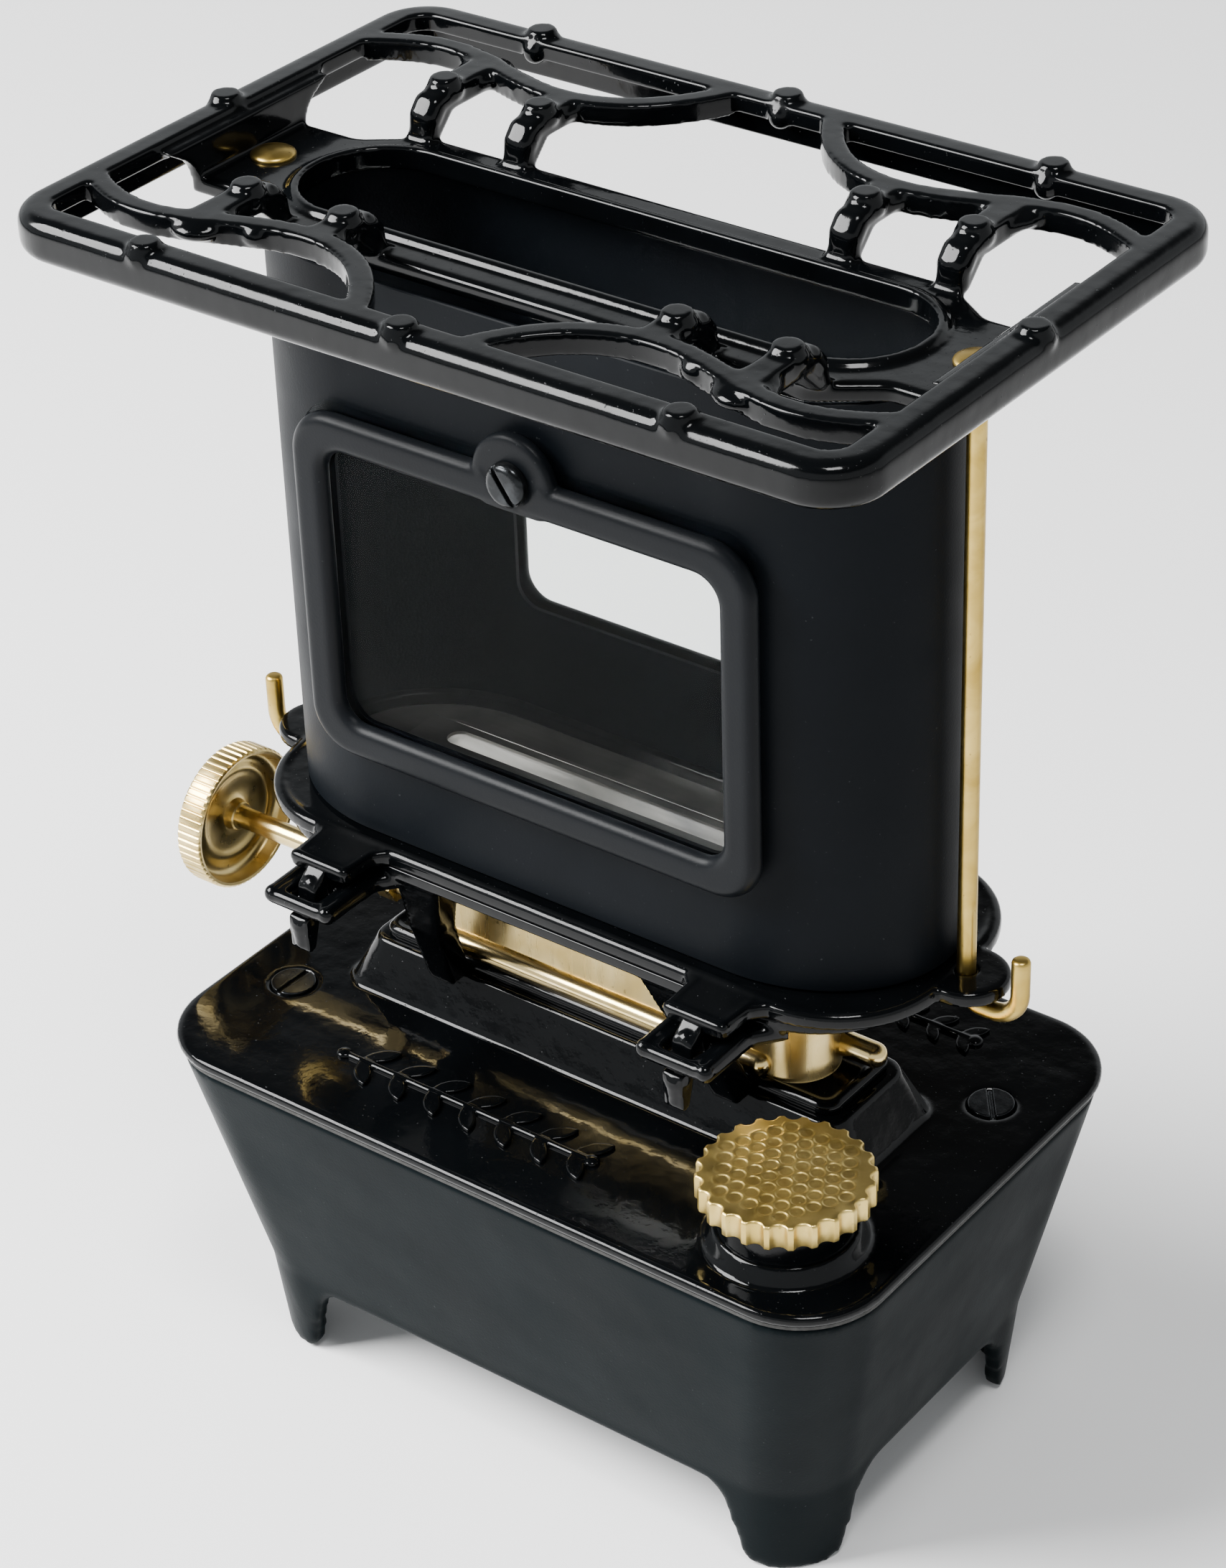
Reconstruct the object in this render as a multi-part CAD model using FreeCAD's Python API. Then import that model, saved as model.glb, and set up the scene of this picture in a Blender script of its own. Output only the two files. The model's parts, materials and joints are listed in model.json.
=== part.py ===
# Kerosene heater: cast oil tank on four feet, oblong flat-wick burner, tipping chimney with
# two swinging windows, and a studded trivet on top, tied down by two hooked rods.
# Units are millimetres. Z is up, X runs along the heater, -Y is the front. Z = 0 is the floor.
import FreeCAD, Part
import math
import os

os.makedirs("parts", exist_ok=True)

# Overall heights
TOTAL_HEIGHT = 295.8
TANK_SPLIT_Z = 84.8
GASKET_T = 0.8
LID_BOTTOM_Z = TANK_SPLIT_Z + GASKET_T
LID_TOP_Z = 88.6
PLATFORM_TOP_Z = 100.8
GALLERY_BOTTOM_Z = 137.3
GALLERY_TOP_Z = 140.0
RING_BOTTOM_Z = 140.2
RING_TOP_Z = 143.6
DECK_Z = 144.2
DECK_T = 1.0
DRUM_BOTTOM_Z = 144.2
PLATE_BOTTOM_Z = 280.3
PLATE_TOP_Z = 284.3
DRUM_TOP_Z = PLATE_BOTTOM_Z - 0.3

# Tank casting: half length, half depth, corner radius at three heights
TANK_FOOT = (79.0, 47.5, 17.0)
TANK_KNEE = (81.5, 49.5, 18.0)
TANK_TOP = (94.2, 61.2, 20.5)
TANK_KNEE_Z = 23.8
TANK_FLOOR_Z = 27.8
TANK_WALL = 3.5
FOOT_WALL = 4.2
ARCH_TOP_Z = 21.8
ARCH_LONG = (57.0, 62.5)
ARCH_SHORT = (27.0, 32.5)
ARCH_CROWN_R = 9.0
FOOT_TOE_R = 4.5
ARCH_RUN = (70.0, 100.0)
ARCH_TOE_SPREAD = 10.0

# Tank cover
LID_HALF = (95.0, 62.0)
LID_CORNER_R = 21.0
LID_EDGE_R = 1.3
PLATFORM_BASE = (71.0, 19.0, 7.0)
PLATFORM_TOP = (64.8, 14.0, 5.0)
LID_SCREW_AT = (79.0, 26.0)
LID_SCREW_HEAD_R = 5.2
LID_SCREW_SHANK_R = 2.5
SCREW_PILLAR_R = 6.0
SCREW_BORE_BOTTOM_Z = 66.0
SCREW_SEAT_DEPTH = 1.4
SCREW_HEAD_PROUD = 0.3
SCREW_HEAD_GAP = 0.25
SCREW_SHANK_GAP = 0.2
LID_SLOT_TURNS = {-1: 88.0, 1: 127.0}
SLOT_WIDTH = 1.2
SLOT_DEPTH = 0.8
PLATFORM_WALL = 3.0
OVERLAP = 0.5
LEAF_HEIGHT = 0.9
LEAF_ANGLE = 48.0
LEAF_SLENDERNESS = 0.42
STEM_HALF_W = 0.6
BERRY_R = 1.7
# Leaf sprays: centre x, centre y, pairs of leaves, pitch, leaf length
FRONT_SPRAY = (-16.0, -41.0, 7, 10.0, 9.5)
REAR_SPRAY = (44.0, 43.0, 5, 8.0, 7.0)

# Filler
FILLER_AT = (68.4, -38.0)
BOSS_R = (18.3, 15.8)
BOSS_TOP_Z = 93.0
NECK_R = 15.0
NECK_BORE_R = 12.0
NECK_TOP_Z = 102.4
CAP_R = 19.3
CAP_Z = (100.4, 106.6)
CAP_SKIRT_GAP = 0.35
CAP_SKIRT_R = NECK_R + CAP_SKIRT_GAP
CAP_CEILING_Z = 104.7
CAP_SCALLOPS = 24
CAP_SCALLOP_R = 2.0
CAP_SCALLOP_REACH = CAP_R + 0.75
CAP_CHAMFER = 0.6
DIMPLE_PITCH = 3.8
DIMPLE_R = 1.5
DIMPLE_DEPTH = 0.4
DIMPLE_ROWS = 5
DIMPLE_MARGIN = 3.4
SEAL_GAP = 0.1

# Burner and wick
FLANGE_HALF = (62.5, 12.4, 4.0)
FLANGE_TOP_Z = 103.2
BURNER_HALF_STRAIGHT = 45.0
BURNER_R = 9.8
BURNER_WALL = 1.0
BURNER_TOP_Z = 123.0
BURNER_CROWN_T = 1.2
FLANGE_EDGE_R = 0.8
TUBE_FIT_GAP = 0.05
ROLL_R = 2.9
ROLL_Y = -9.9
ROLL_Z = 106.1
ROLL_END_X = 42.0
VENT_R = 2.9
VENT_AXIS = (5.2, 107.4)
VENT_TIP_X = 64.8
VENT_SOCKET_DEPTH = 6.8
VENT_ROOT_DEPTH = 3.2
WICK_HALF_STRAIGHT = 42.0
WICK_R = 2.0
WICK_Z = (36.0, 137.5)
TUBE_BORE_R = 2.35
TUBE_R = 3.0
TUBE_Z = (62.0, 136.0)
SHAFT_Y = -5.4
SHAFT_Z = 111.8
SHAFT_CORE_R = 1.8
SHAFT_SLEEVE_R = 2.6
SHAFT_WALL_GAP = 0.6
SHAFT_RUNNING_GAP = 0.06
SHAFT_FAR_X = 43.0
SPROCKET_R = 3.1
SPROCKET_AT = (-24.0, 24.0)
SPROCKET_T = 2.0
SPROCKET_POINTS = 12
SPROCKET_TOOTH = 0.6
TUBE_WINDOW = (1.8, 4.5)
WHEEL_X = (-115.6, -108.6)
WHEEL_R = 17.4
WHEEL_KNURLS = 60
WHEEL_KNURL_DEPTH = 0.5
WHEEL_BAND_T = 1.5
# Wheel web: (radius, distance from the outer face) round the section
WHEEL_WEB = ((SHAFT_CORE_R, 1.0), (SHAFT_CORE_R, 5.0), (4.6, 5.0), (5.2, 2.4), (8.4, 2.4), (9.4, 4.2),
             (12.0, 4.2), (13.0, 2.6), (WHEEL_R - 1.4, 2.6), (WHEEL_R - 1.4, 1.0))
SLEEVE_START = 5.2
GLAND_X = (-66.5, -51.0)
GLAND_NUT_R = 5.0
GLAND_NUT_LENGTH = 5.0
GLAND_BARREL_R = 3.1
GLAND_END_GAP = 0.4
BEARING_X = (38.0, 40.5)
BEARING_Y = (-8.75, -3.05)
BEARING_CAP_T = 3.5

# Chimney castings
RING_PLAN = (87.0, 34.0, 26.0)
GALLERY_PLAN = (82.5, 34.0, 26.0)
GALLERY_OPENING = (74.0, 24.0, 22.0)
EAR_X = 88.0
EAR_R = 9.5
RING_EDGE_R = 1.2
RING_LIP_HEIGHT = 4.5
DRUM_SEAT = (1.6, 4.4, 6.6)
TAB_X = 50.5
TAB_HALF_W = 8.0
TAB_FRONT_Y = -45.6
TAB_CORNER_R = 1.6
TAB_ROOT_R = 3.0
TAB_ROOT_FLARE = 5.0
SHELF_HALF_W = 9.4
SHELF_FRONT_Y = -53.4
SHELF_Z = (133.8, 137.8)
SHELF_EDGE_R = 1.5
# The chimney tips about the bar in front of each shelf's slot
SLOT_Y = (-51.1, -44.4)
HINGE_Y = -52.2
HINGE_Z = 135.8
HINGE_CLEAR_R = 2.6
FLAME_SLOT_HALF = 50.0
FLAME_SLOT_R = 6.4
HOOK_HALF_W = 2.6
HOOK_SIDE_GAP = 1.5
HOOK_BACK_Y = -44.9
HOOK_TIP_Z = 124.2
# Legs: x from, x to, y from, y to, height, for the top, middle and foot sections
LEG_TOP = (27.0, 39.0, -33.6, -25.0, 137.8)
LEG_MIDDLE = (33.0, 41.0, -27.5, -20.5, 120.0)
LEG_FOOT = (36.0, 43.0, -19.4, -12.6, 100.8)

# Drum: stadium with elliptical ends, given as half straight, end length, half depth
DRUM_HALF_STRAIGHT = 48.0
DRUM_END_LENGTH = 35.5
DRUM_HALF_DEPTH = 29.5
DRUM_WALL = 1.0
WINDOW_OPENING = (50.5, 34.0, 6.0)
WINDOW_MID_Z = 207.1
FRAME_OUTER = (59.0, 41.6, 11.0)
FRAME_INNER = (50.2, 33.2, 5.8)
FRAME_Y = (31.3, 34.6)
FRAME_EDGE_R = 2.6
GLASS_HALF = (57.0, 41.4, 8.0)
GLASS_Y = (29.8, 31.2)
GLASS_RISE = 1.2
GLASS_NOTCH_R = 6.0
PIVOT_Z = 247.4
BUMP_R = 10.4
BUMP_EDGE_R = 1.4
BUMP_STEP = 0.4
HEAD_SEAT_GAP = 0.6
HEAD_SEAT_DEPTH = 0.3
PIVOT_HEAD_R = 4.9
PIVOT_HEAD_T = 2.6
PIVOT_HEAD_ROUND_R = 1.7
PIVOT_SLOT_TURN = 55.0
PIVOT_SHANK_R = 2.5
PIVOT_SHANK_END_Y = -23.5
NUT_R = 4.6
NUT_T = 3.2
NUT_THREAD_GAP = 0.03
PIVOT_WALL_GAP = 0.1
# Spreader section: (half width, height above the deck) outside and inside
SPREADER_OUTER = ((13.0, 0.0), (5.0, 8.4))
SPREADER_INNER = ((11.4, 0.0), (4.2, 7.4))
SPREADER_HALF_LENGTH = 57.0
SPREADER_SLOT_R = 2.8
SPREADER_SLOT_HALF = 46.0
DECK_LIP_HEIGHT = 8.4
DECK_GAP = 0.2

# Trivet casting
RIM_OUTER = (104.0, 68.0, 13.0)
RIM_INNER = (96.4, 60.4, 5.0)
RIM_Z = (284.4, 294.2)
RIM_ROUND_R = 3.2
RIM_SKIRT_T = 4.0
RIM_WEB_BOTTOM_Z = 290.0
BAND_WIDTH = 5.0
BAND_Z = (289.2, 294.2)
STUD_R = 3.1
STUD_HEAD_T = 1.7
STUD_FLARE = 0.5
PERIMETER_STUDS = ((65.0, 64.2), (0.0, 64.2), (100.2, 0.0))
INNER_STUDS = ((66.5, 32.0), (41.0, 32.0))
PLATE_HALF = (79.0, 26.0)
PLATE_OPENING = (75.5, 16.6)
PLATE_TAB_HALF_W = 17.2
PLATE_SHOULDER_X = 66.0
PLATE_EDGE_R = 1.4
END_WALL_T = 2.6
END_WALL_TOP_Z = 292.6
END_WALL_BEND_Z = 288.0
END_WALL_FLARE = (1.5, 9.0)
LIP_WIDTH = 2.6
LIP_HEIGHT = 1.4
STRAP_HALF_W = 3.2
ARM_HALF_W = 3.3
# Plan of one scroll: (x, distance in front of the middle), from the end bar to the long bar
SCROLL_LINE = ((97.5, 43.2), (90.0, 47.2), (80.0, 49.6), (70.0, 48.2), (60.0, 44.8), (50.0, 41.8),
               (42.0, 41.0), (35.0, 42.0), (28.0, 45.0), (21.5, 50.2), (16.5, 56.4), (13.5, 61.5))
SCROLL_STEPS = 40
ARM_REACH = (46.0, 41.0)

# Tie rods
ROD_R = 2.05
ROD_HEAD_R = 5.0
ROD_HEAD_T = 1.7
ROD_HEAD_ROUND_R = 1.1
ROD_TIP_ROUND_R = 0.8
ROD_HOLE_GAP = 0.15
HOOK_REACH = 13.2
HOOK_BEND_R = 4.2
HOOK_LIFT_R = 6.5
HOOK_TURN_Z = 140.0
HOOK_POINT_Z = 151.4
# How far a cutting shape reaches past the face that it cuts
PAST = 1.0


def vec(x, y, z):
    return FreeCAD.Vector(x, y, z)


def export(shape, node):
    shape.exportStep("parts/" + node + ".step")


def mirror_x(shape):
    return shape.mirror(vec(0, 0, 0), vec(1, 0, 0))


def mirror_y(shape):
    return shape.mirror(vec(0, 0, 0), vec(0, 1, 0))


def fuse_all(shapes):
    joined = shapes[0]
    for shape in shapes[1:]:
        joined = joined.fuse(shape)
    return joined.removeSplitter()


def cylinder_z(x, y, radius, z0, z1):
    return Part.makeCylinder(radius, z1 - z0, vec(x, y, z0), vec(0, 0, 1))


def cylinder_x(y, z, radius, x0, x1):
    return Part.makeCylinder(radius, x1 - x0, vec(x0, y, z), vec(1, 0, 0))


def cylinder_y(x, z, radius, y0, y1):
    return Part.makeCylinder(radius, y1 - y0, vec(x, y0, z), vec(0, 1, 0))


def box_between(x0, x1, y0, y1, z0, z1):
    return Part.makeBox(x1 - x0, y1 - y0, z1 - z0, vec(x0, y0, z0))


def rounded_outline(points, radii, place):
    """Closed wire through 2-D points, each corner rounded by its own radius (0 keeps it sharp)."""
    count = len(points)
    corners = []
    for i in range(count):
        here = vec(points[i][0], points[i][1], 0)
        before = vec(points[i - 1][0], points[i - 1][1], 0) - here
        after = vec(points[(i + 1) % count][0], points[(i + 1) % count][1], 0) - here
        before.normalize()
        after.normalize()
        radius = radii[i]
        if radius == 0:
            corners.append((here, here, here))
            continue
        half_angle = before.getAngle(after) / 2
        reach = radius / math.tan(half_angle)
        inward = before + after
        inward.normalize()
        centre = here + inward * (radius / math.sin(half_angle))
        corners.append((here + before * reach, centre - inward * radius, here + after * reach))
    edges = []
    for i in range(count):
        start, middle, end = corners[i]
        if radii[i] > 0:
            edges.append(Part.Arc(place(start), place(middle), place(end)).toShape())
        following = corners[(i + 1) % count][0]
        if end.distanceToPoint(following) > 1e-6:
            edges.append(Part.makeLine(place(end), place(following)))
    return Part.Wire(edges)


def plan_wire(points, radii, z):
    return rounded_outline(points, radii, lambda p: vec(p.x, p.y, z))


def side_wire(points, radii, x):
    """Wire in the YZ plane at the given x; points are (y, z)."""
    return rounded_outline(points, radii, lambda p: vec(x, p.x, p.y))


def front_wire(points, radii, y):
    """Wire in the XZ plane at the given y; points are (x, z)."""
    return rounded_outline(points, radii, lambda p: vec(p.x, y, p.y))


def rectangle_points(half_x, half_y):
    return [(-half_x, -half_y), (half_x, -half_y), (half_x, half_y), (-half_x, half_y)]


def rounded_rectangle(plan, z):
    half_x, half_y, radius = plan
    return plan_wire(rectangle_points(half_x, half_y), [radius] * 4, z)


def rounded_slab(plan, z0, z1):
    return Part.Face(rounded_rectangle(plan, z0)).extrude(vec(0, 0, z1 - z0))


def tapered_block(lower, upper, z0, z1):
    return Part.makeLoft([rounded_rectangle(lower, z0), rounded_rectangle(upper, z1)], True, True)


def inset(plan, amount):
    return (plan[0] - amount, plan[1] - amount, max(plan[2] - amount, 1.0))


def stadium_slab(half_straight, radius, z0, z1):
    middle = box_between(-half_straight, half_straight, -radius, radius, z0, z1)
    left = cylinder_z(-half_straight, 0, radius, z0, z1)
    right = cylinder_z(half_straight, 0, radius, z0, z1)
    return fuse_all([middle, left, right])


def oval_slab(half_straight, end_length, half_depth, z0, z1):
    """Upright slab with straight sides and half-ellipse ends."""
    edges = []
    for side in (1, -1):
        ellipse = Part.Ellipse(vec(side * half_straight, 0, z0), end_length, half_depth)
        start = -math.pi / 2 if side > 0 else math.pi / 2
        edges.append(Part.Arc(ellipse, start, start + math.pi).toShape())
        y = side * half_depth
        edges.append(Part.makeLine(vec(side * half_straight, y, z0), vec(-side * half_straight, y, z0)))
    wire = Part.Wire(Part.__sortEdges__(edges))
    return Part.Face(wire).extrude(vec(0, 0, z1 - z0))


def edges_at_z(shape, z):
    found = []
    for edge in shape.Edges:
        box = edge.BoundBox
        if abs(box.ZMin - z) < 1e-4 and abs(box.ZMax - z) < 1e-4:
            found.append(edge)
    return found


def edges_at_y(shape, y):
    found = []
    for edge in shape.Edges:
        box = edge.BoundBox
        if abs(box.YMin - y) < 1e-4 and abs(box.YMax - y) < 1e-4:
            found.append(edge)
    return found


# ---------------------------------------------------------------- tank

def arch_cutter(half_crown, half_toe, half_run, along_x):
    """Tunnel under the tank between two feet, with a rounded crown and rounded toes."""
    flare = half_toe + ARCH_TOE_SPREAD
    points = [(-flare, -PAST), (-flare, 0), (-half_toe, 0), (-half_crown, ARCH_TOP_Z),
              (half_crown, ARCH_TOP_Z), (half_toe, 0), (flare, 0), (flare, -PAST)]
    radii = [0, 0, FOOT_TOE_R, ARCH_CROWN_R, ARCH_CROWN_R, FOOT_TOE_R, 0, 0]
    if along_x:
        face = Part.Face(front_wire(points, radii, -half_run))
        return face.extrude(vec(0, 2 * half_run, 0))
    face = Part.Face(side_wire(points, radii, -half_run))
    return face.extrude(vec(2 * half_run, 0, 0))


def make_tank_body():
    upper = tapered_block(TANK_KNEE, TANK_TOP, TANK_KNEE_Z, TANK_SPLIT_Z)
    lower = tapered_block(TANK_FOOT, TANK_KNEE, 0, TANK_KNEE_Z)
    outside = upper.fuse(lower)
    cavity = tapered_block(inset(TANK_KNEE, TANK_WALL), inset(TANK_TOP, TANK_WALL),
                           TANK_FLOOR_Z, TANK_SPLIT_Z + 0.01)
    recess = tapered_block(inset(TANK_FOOT, FOOT_WALL), inset(TANK_KNEE, FOOT_WALL),
                           -0.01, ARCH_TOP_Z)
    body = outside.cut(cavity).cut(recess)
    body = body.cut(arch_cutter(ARCH_LONG[0], ARCH_LONG[1], ARCH_RUN[0], True))
    body = body.cut(arch_cutter(ARCH_SHORT[0], ARCH_SHORT[1], ARCH_RUN[1], False))
    for side in (-1, 1):
        x = side * LID_SCREW_AT[0]
        y = side * LID_SCREW_AT[1]
        pillar = cylinder_z(x, y, SCREW_PILLAR_R, TANK_FLOOR_Z - PAST, TANK_SPLIT_Z)
        body = body.fuse(pillar.common(outside))
        body = body.cut(cylinder_z(x, y, LID_SCREW_SHANK_R + SHAFT_RUNNING_GAP,
                                   SCREW_BORE_BOTTOM_Z, TANK_SPLIT_Z + PAST))
    return body


def make_tank_gasket():
    sheet = rounded_slab(TANK_TOP, TANK_SPLIT_Z, LID_BOTTOM_Z)
    hole = rounded_slab(inset(TANK_TOP, TANK_WALL), TANK_SPLIT_Z - PAST, LID_BOTTOM_Z + PAST)
    return sheet.cut(hole)


def make_tank_lid():
    plate = rounded_slab((LID_HALF[0], LID_HALF[1], LID_CORNER_R), LID_BOTTOM_Z, LID_TOP_Z)
    edges = edges_at_z(plate, LID_TOP_Z) + edges_at_z(plate, LID_BOTTOM_Z)
    plate = plate.makeFillet(LID_EDGE_R, edges)
    root_z = LID_TOP_Z - OVERLAP
    platform = tapered_block(PLATFORM_BASE, PLATFORM_TOP, root_z, PLATFORM_TOP_Z)
    boss = Part.makeCone(BOSS_R[0], BOSS_R[1], BOSS_TOP_Z - root_z, vec(FILLER_AT[0], FILLER_AT[1], root_z))
    lid = fuse_all([plate, platform, boss])
    hollow = tapered_block(inset(PLATFORM_BASE, PLATFORM_WALL), inset(PLATFORM_TOP, PLATFORM_WALL),
                           LID_BOTTOM_Z - 0.01, PLATFORM_TOP_Z - PLATFORM_WALL)
    lid = lid.cut(hollow)
    under_z = LID_BOTTOM_Z - PAST
    lid = lid.cut(stadium_slab(WICK_HALF_STRAIGHT, TUBE_R + TUBE_FIT_GAP, under_z, PLATFORM_TOP_Z + PAST))
    lid = lid.cut(cylinder_z(FILLER_AT[0], FILLER_AT[1], NECK_BORE_R, under_z, BOSS_TOP_Z + PAST))
    for side in (-1, 1):
        x = side * LID_SCREW_AT[0]
        y = side * LID_SCREW_AT[1]
        lid = lid.cut(cylinder_z(x, y, LID_SCREW_HEAD_R + SCREW_HEAD_GAP,
                                 LID_TOP_Z - SCREW_SEAT_DEPTH, LID_TOP_Z + PAST))
        lid = lid.cut(cylinder_z(x, y, LID_SCREW_SHANK_R + SCREW_SHANK_GAP, under_z, LID_TOP_Z))
    return lid


def make_lid_screw(side):
    x = side * LID_SCREW_AT[0]
    y = side * LID_SCREW_AT[1]
    head_top = LID_TOP_Z + SCREW_HEAD_PROUD
    head = cylinder_z(x, y, LID_SCREW_HEAD_R, LID_TOP_Z - SCREW_SEAT_DEPTH, head_top)
    slot = box_between(x - LID_SCREW_HEAD_R - PAST, x + LID_SCREW_HEAD_R + PAST,
                       y - SLOT_WIDTH / 2, y + SLOT_WIDTH / 2, head_top - SLOT_DEPTH, head_top + PAST)
    slot.rotate(vec(x, y, 0), vec(0, 0, 1), LID_SLOT_TURNS[side])
    shank = cylinder_z(x, y, LID_SCREW_SHANK_R, SCREW_BORE_BOTTOM_Z + PAST, LID_TOP_Z - SCREW_SEAT_DEPTH)
    return fuse_all([head.cut(slot), shank])


def leaf(length, width, angle, x, y, z0, z1):
    """Pointed leaf plate: two arcs meeting at both tips, rising from z0 to z1."""
    tip = vec(length, 0, 0)
    upper = Part.Arc(vec(0, 0, 0), vec(length / 2, width / 2, 0), tip).toShape()
    lower = Part.Arc(tip, vec(length / 2, -width / 2, 0), vec(0, 0, 0)).toShape()
    plate = Part.Face(Part.Wire([upper, lower])).extrude(vec(0, 0, z1 - z0))
    plate.rotate(vec(0, 0, 0), vec(0, 0, 1), angle)
    plate.translate(vec(x, y, z0))
    return plate


def leaf_spray(centre_x, centre_y, pairs, pitch, length):
    """Row of paired leaves along a stem, closed at each end by a round bead."""
    z0 = LID_TOP_Z
    z1 = LID_TOP_Z + LEAF_HEIGHT
    half_stem = pitch * pairs / 2
    pieces = [box_between(centre_x - half_stem, centre_x + half_stem,
                          centre_y - STEM_HALF_W, centre_y + STEM_HALF_W, z0, z1)]
    for i in range(pairs):
        x = centre_x - half_stem + pitch * (i + 0.5)
        for angle in (LEAF_ANGLE, -LEAF_ANGLE):
            pieces.append(leaf(length, LEAF_SLENDERNESS * length, angle, x, centre_y, z0, z1))
    for end in (-1, 1):
        pieces.append(cylinder_z(centre_x + end * half_stem, centre_y, BERRY_R, z0, z1))
    return fuse_all(pieces)


# ---------------------------------------------------------------- filler

def make_filler_neck():
    x, y = FILLER_AT
    tube = cylinder_z(x, y, NECK_R, BOSS_TOP_Z, NECK_TOP_Z)
    return tube.cut(cylinder_z(x, y, NECK_BORE_R, BOSS_TOP_Z - PAST, NECK_TOP_Z + PAST))


def make_cap_gasket():
    x, y = FILLER_AT
    return cylinder_z(x, y, NECK_R - OVERLAP, NECK_TOP_Z + SEAL_GAP, CAP_CEILING_Z - SEAL_GAP)


def make_filler_cap():
    x, y = FILLER_AT
    cap = cylinder_z(x, y, CAP_R, CAP_Z[0], CAP_Z[1])
    cap = cap.makeChamfer(CAP_CHAMFER, edges_at_z(cap, CAP_Z[1]))
    cap = cap.cut(cylinder_z(x, y, CAP_SKIRT_R, CAP_Z[0] - PAST, CAP_CEILING_Z))
    notches = []
    for i in range(CAP_SCALLOPS):
        angle = 2 * math.pi * i / CAP_SCALLOPS
        dx = CAP_SCALLOP_REACH * math.cos(angle)
        dy = CAP_SCALLOP_REACH * math.sin(angle)
        notches.append(cylinder_z(x + dx, y + dy, CAP_SCALLOP_R, CAP_Z[0] - PAST, CAP_Z[1] + PAST))
    for row in range(-DIMPLE_ROWS, DIMPLE_ROWS + 1):
        for column in range(-DIMPLE_ROWS, DIMPLE_ROWS + 1):
            dx = DIMPLE_PITCH * (column + 0.5 * (row % 2))
            dy = DIMPLE_PITCH * row * math.sqrt(3) / 2
            if math.hypot(dx, dy) < CAP_R - DIMPLE_MARGIN:
                notches.append(cylinder_z(x + dx, y + dy, DIMPLE_R, CAP_Z[1] - DIMPLE_DEPTH, CAP_Z[1] + PAST))
    return cap.cut(Part.makeCompound(notches))


# ---------------------------------------------------------------- burner

def make_burner_flange():
    slab = rounded_slab(FLANGE_HALF, PLATFORM_TOP_Z, FLANGE_TOP_Z)
    slab = slab.makeFillet(FLANGE_EDGE_R, edges_at_z(slab, FLANGE_TOP_Z))
    return slab.cut(stadium_slab(WICK_HALF_STRAIGHT, TUBE_R + TUBE_FIT_GAP,
                                 PLATFORM_TOP_Z - PAST, FLANGE_TOP_Z + PAST))


def make_burner_body():
    shell = stadium_slab(BURNER_HALF_STRAIGHT, BURNER_R, FLANGE_TOP_Z, BURNER_TOP_Z)
    hollow = stadium_slab(BURNER_HALF_STRAIGHT, BURNER_R - BURNER_WALL,
                          FLANGE_TOP_Z - PAST, BURNER_TOP_Z - BURNER_CROWN_T)
    shell = shell.cut(hollow)
    shell = shell.cut(stadium_slab(WICK_HALF_STRAIGHT, TUBE_R + TUBE_FIT_GAP,
                                   FLANGE_TOP_Z, BURNER_TOP_Z + PAST))
    end_x = BURNER_HALF_STRAIGHT + BURNER_R
    bore = shaft_cylinder(SHAFT_SLEEVE_R + SHAFT_WALL_GAP, -end_x - PAST, -BURNER_HALF_STRAIGHT)
    roll_slot = cylinder_x(ROLL_Y, ROLL_Z, ROLL_R, -ROLL_END_X, ROLL_END_X)
    vent_slot = cylinder_x(VENT_AXIS[0], VENT_AXIS[1], VENT_R, end_x - VENT_SOCKET_DEPTH, end_x + PAST)
    return shell.cut(bore).cut(roll_slot).cut(vent_slot)


def make_burner_roll():
    """Half-sunk bar along the burner's front wall, ending in two round noses."""
    bar = cylinder_x(ROLL_Y, ROLL_Z, ROLL_R, -ROLL_END_X, ROLL_END_X)
    inside = box_between(-ROLL_END_X - PAST, ROLL_END_X + PAST, -BURNER_R + BURNER_WALL, 0,
                         ROLL_Z - ROLL_R - PAST, ROLL_Z + ROLL_R + PAST)
    bar = bar.cut(inside)
    noses = []
    for side in (-1, 1):
        noses.append(Part.makeSphere(ROLL_R, vec(side * ROLL_END_X, ROLL_Y, ROLL_Z)))
    burner = stadium_slab(BURNER_HALF_STRAIGHT, BURNER_R, FLANGE_TOP_Z, BURNER_TOP_Z)
    return fuse_all([bar, noses[0].cut(burner), noses[1].cut(burner)])


def make_burner_vent():
    y, z = VENT_AXIS
    x_start = BURNER_HALF_STRAIGHT + BURNER_R - VENT_ROOT_DEPTH
    stub = cylinder_x(y, z, VENT_R, x_start, VENT_TIP_X - VENT_R)
    tip = Part.makeSphere(VENT_R, vec(VENT_TIP_X - VENT_R, y, z))
    return fuse_all([stub, tip])


def make_wick_tube():
    """Flat tube that guides the wick, with a window for each sprocket in its front wall."""
    tube = stadium_slab(WICK_HALF_STRAIGHT, TUBE_R, TUBE_Z[0], TUBE_Z[1])
    tube = tube.cut(stadium_slab(WICK_HALF_STRAIGHT, TUBE_BORE_R, TUBE_Z[0] - PAST, TUBE_Z[1] + PAST))
    half_x, half_z = TUBE_WINDOW
    for x in SPROCKET_AT:
        tube = tube.cut(box_between(x - half_x, x + half_x, -TUBE_R - PAST, -TUBE_BORE_R + PAST,
                                    SHAFT_Z - half_z, SHAFT_Z + half_z))
    return tube


def make_wick():
    return stadium_slab(WICK_HALF_STRAIGHT, WICK_R, WICK_Z[0], WICK_Z[1])


def shaft_cylinder(radius, x0, x1):
    return cylinder_x(SHAFT_Y, SHAFT_Z, radius, x0, x1)


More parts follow.
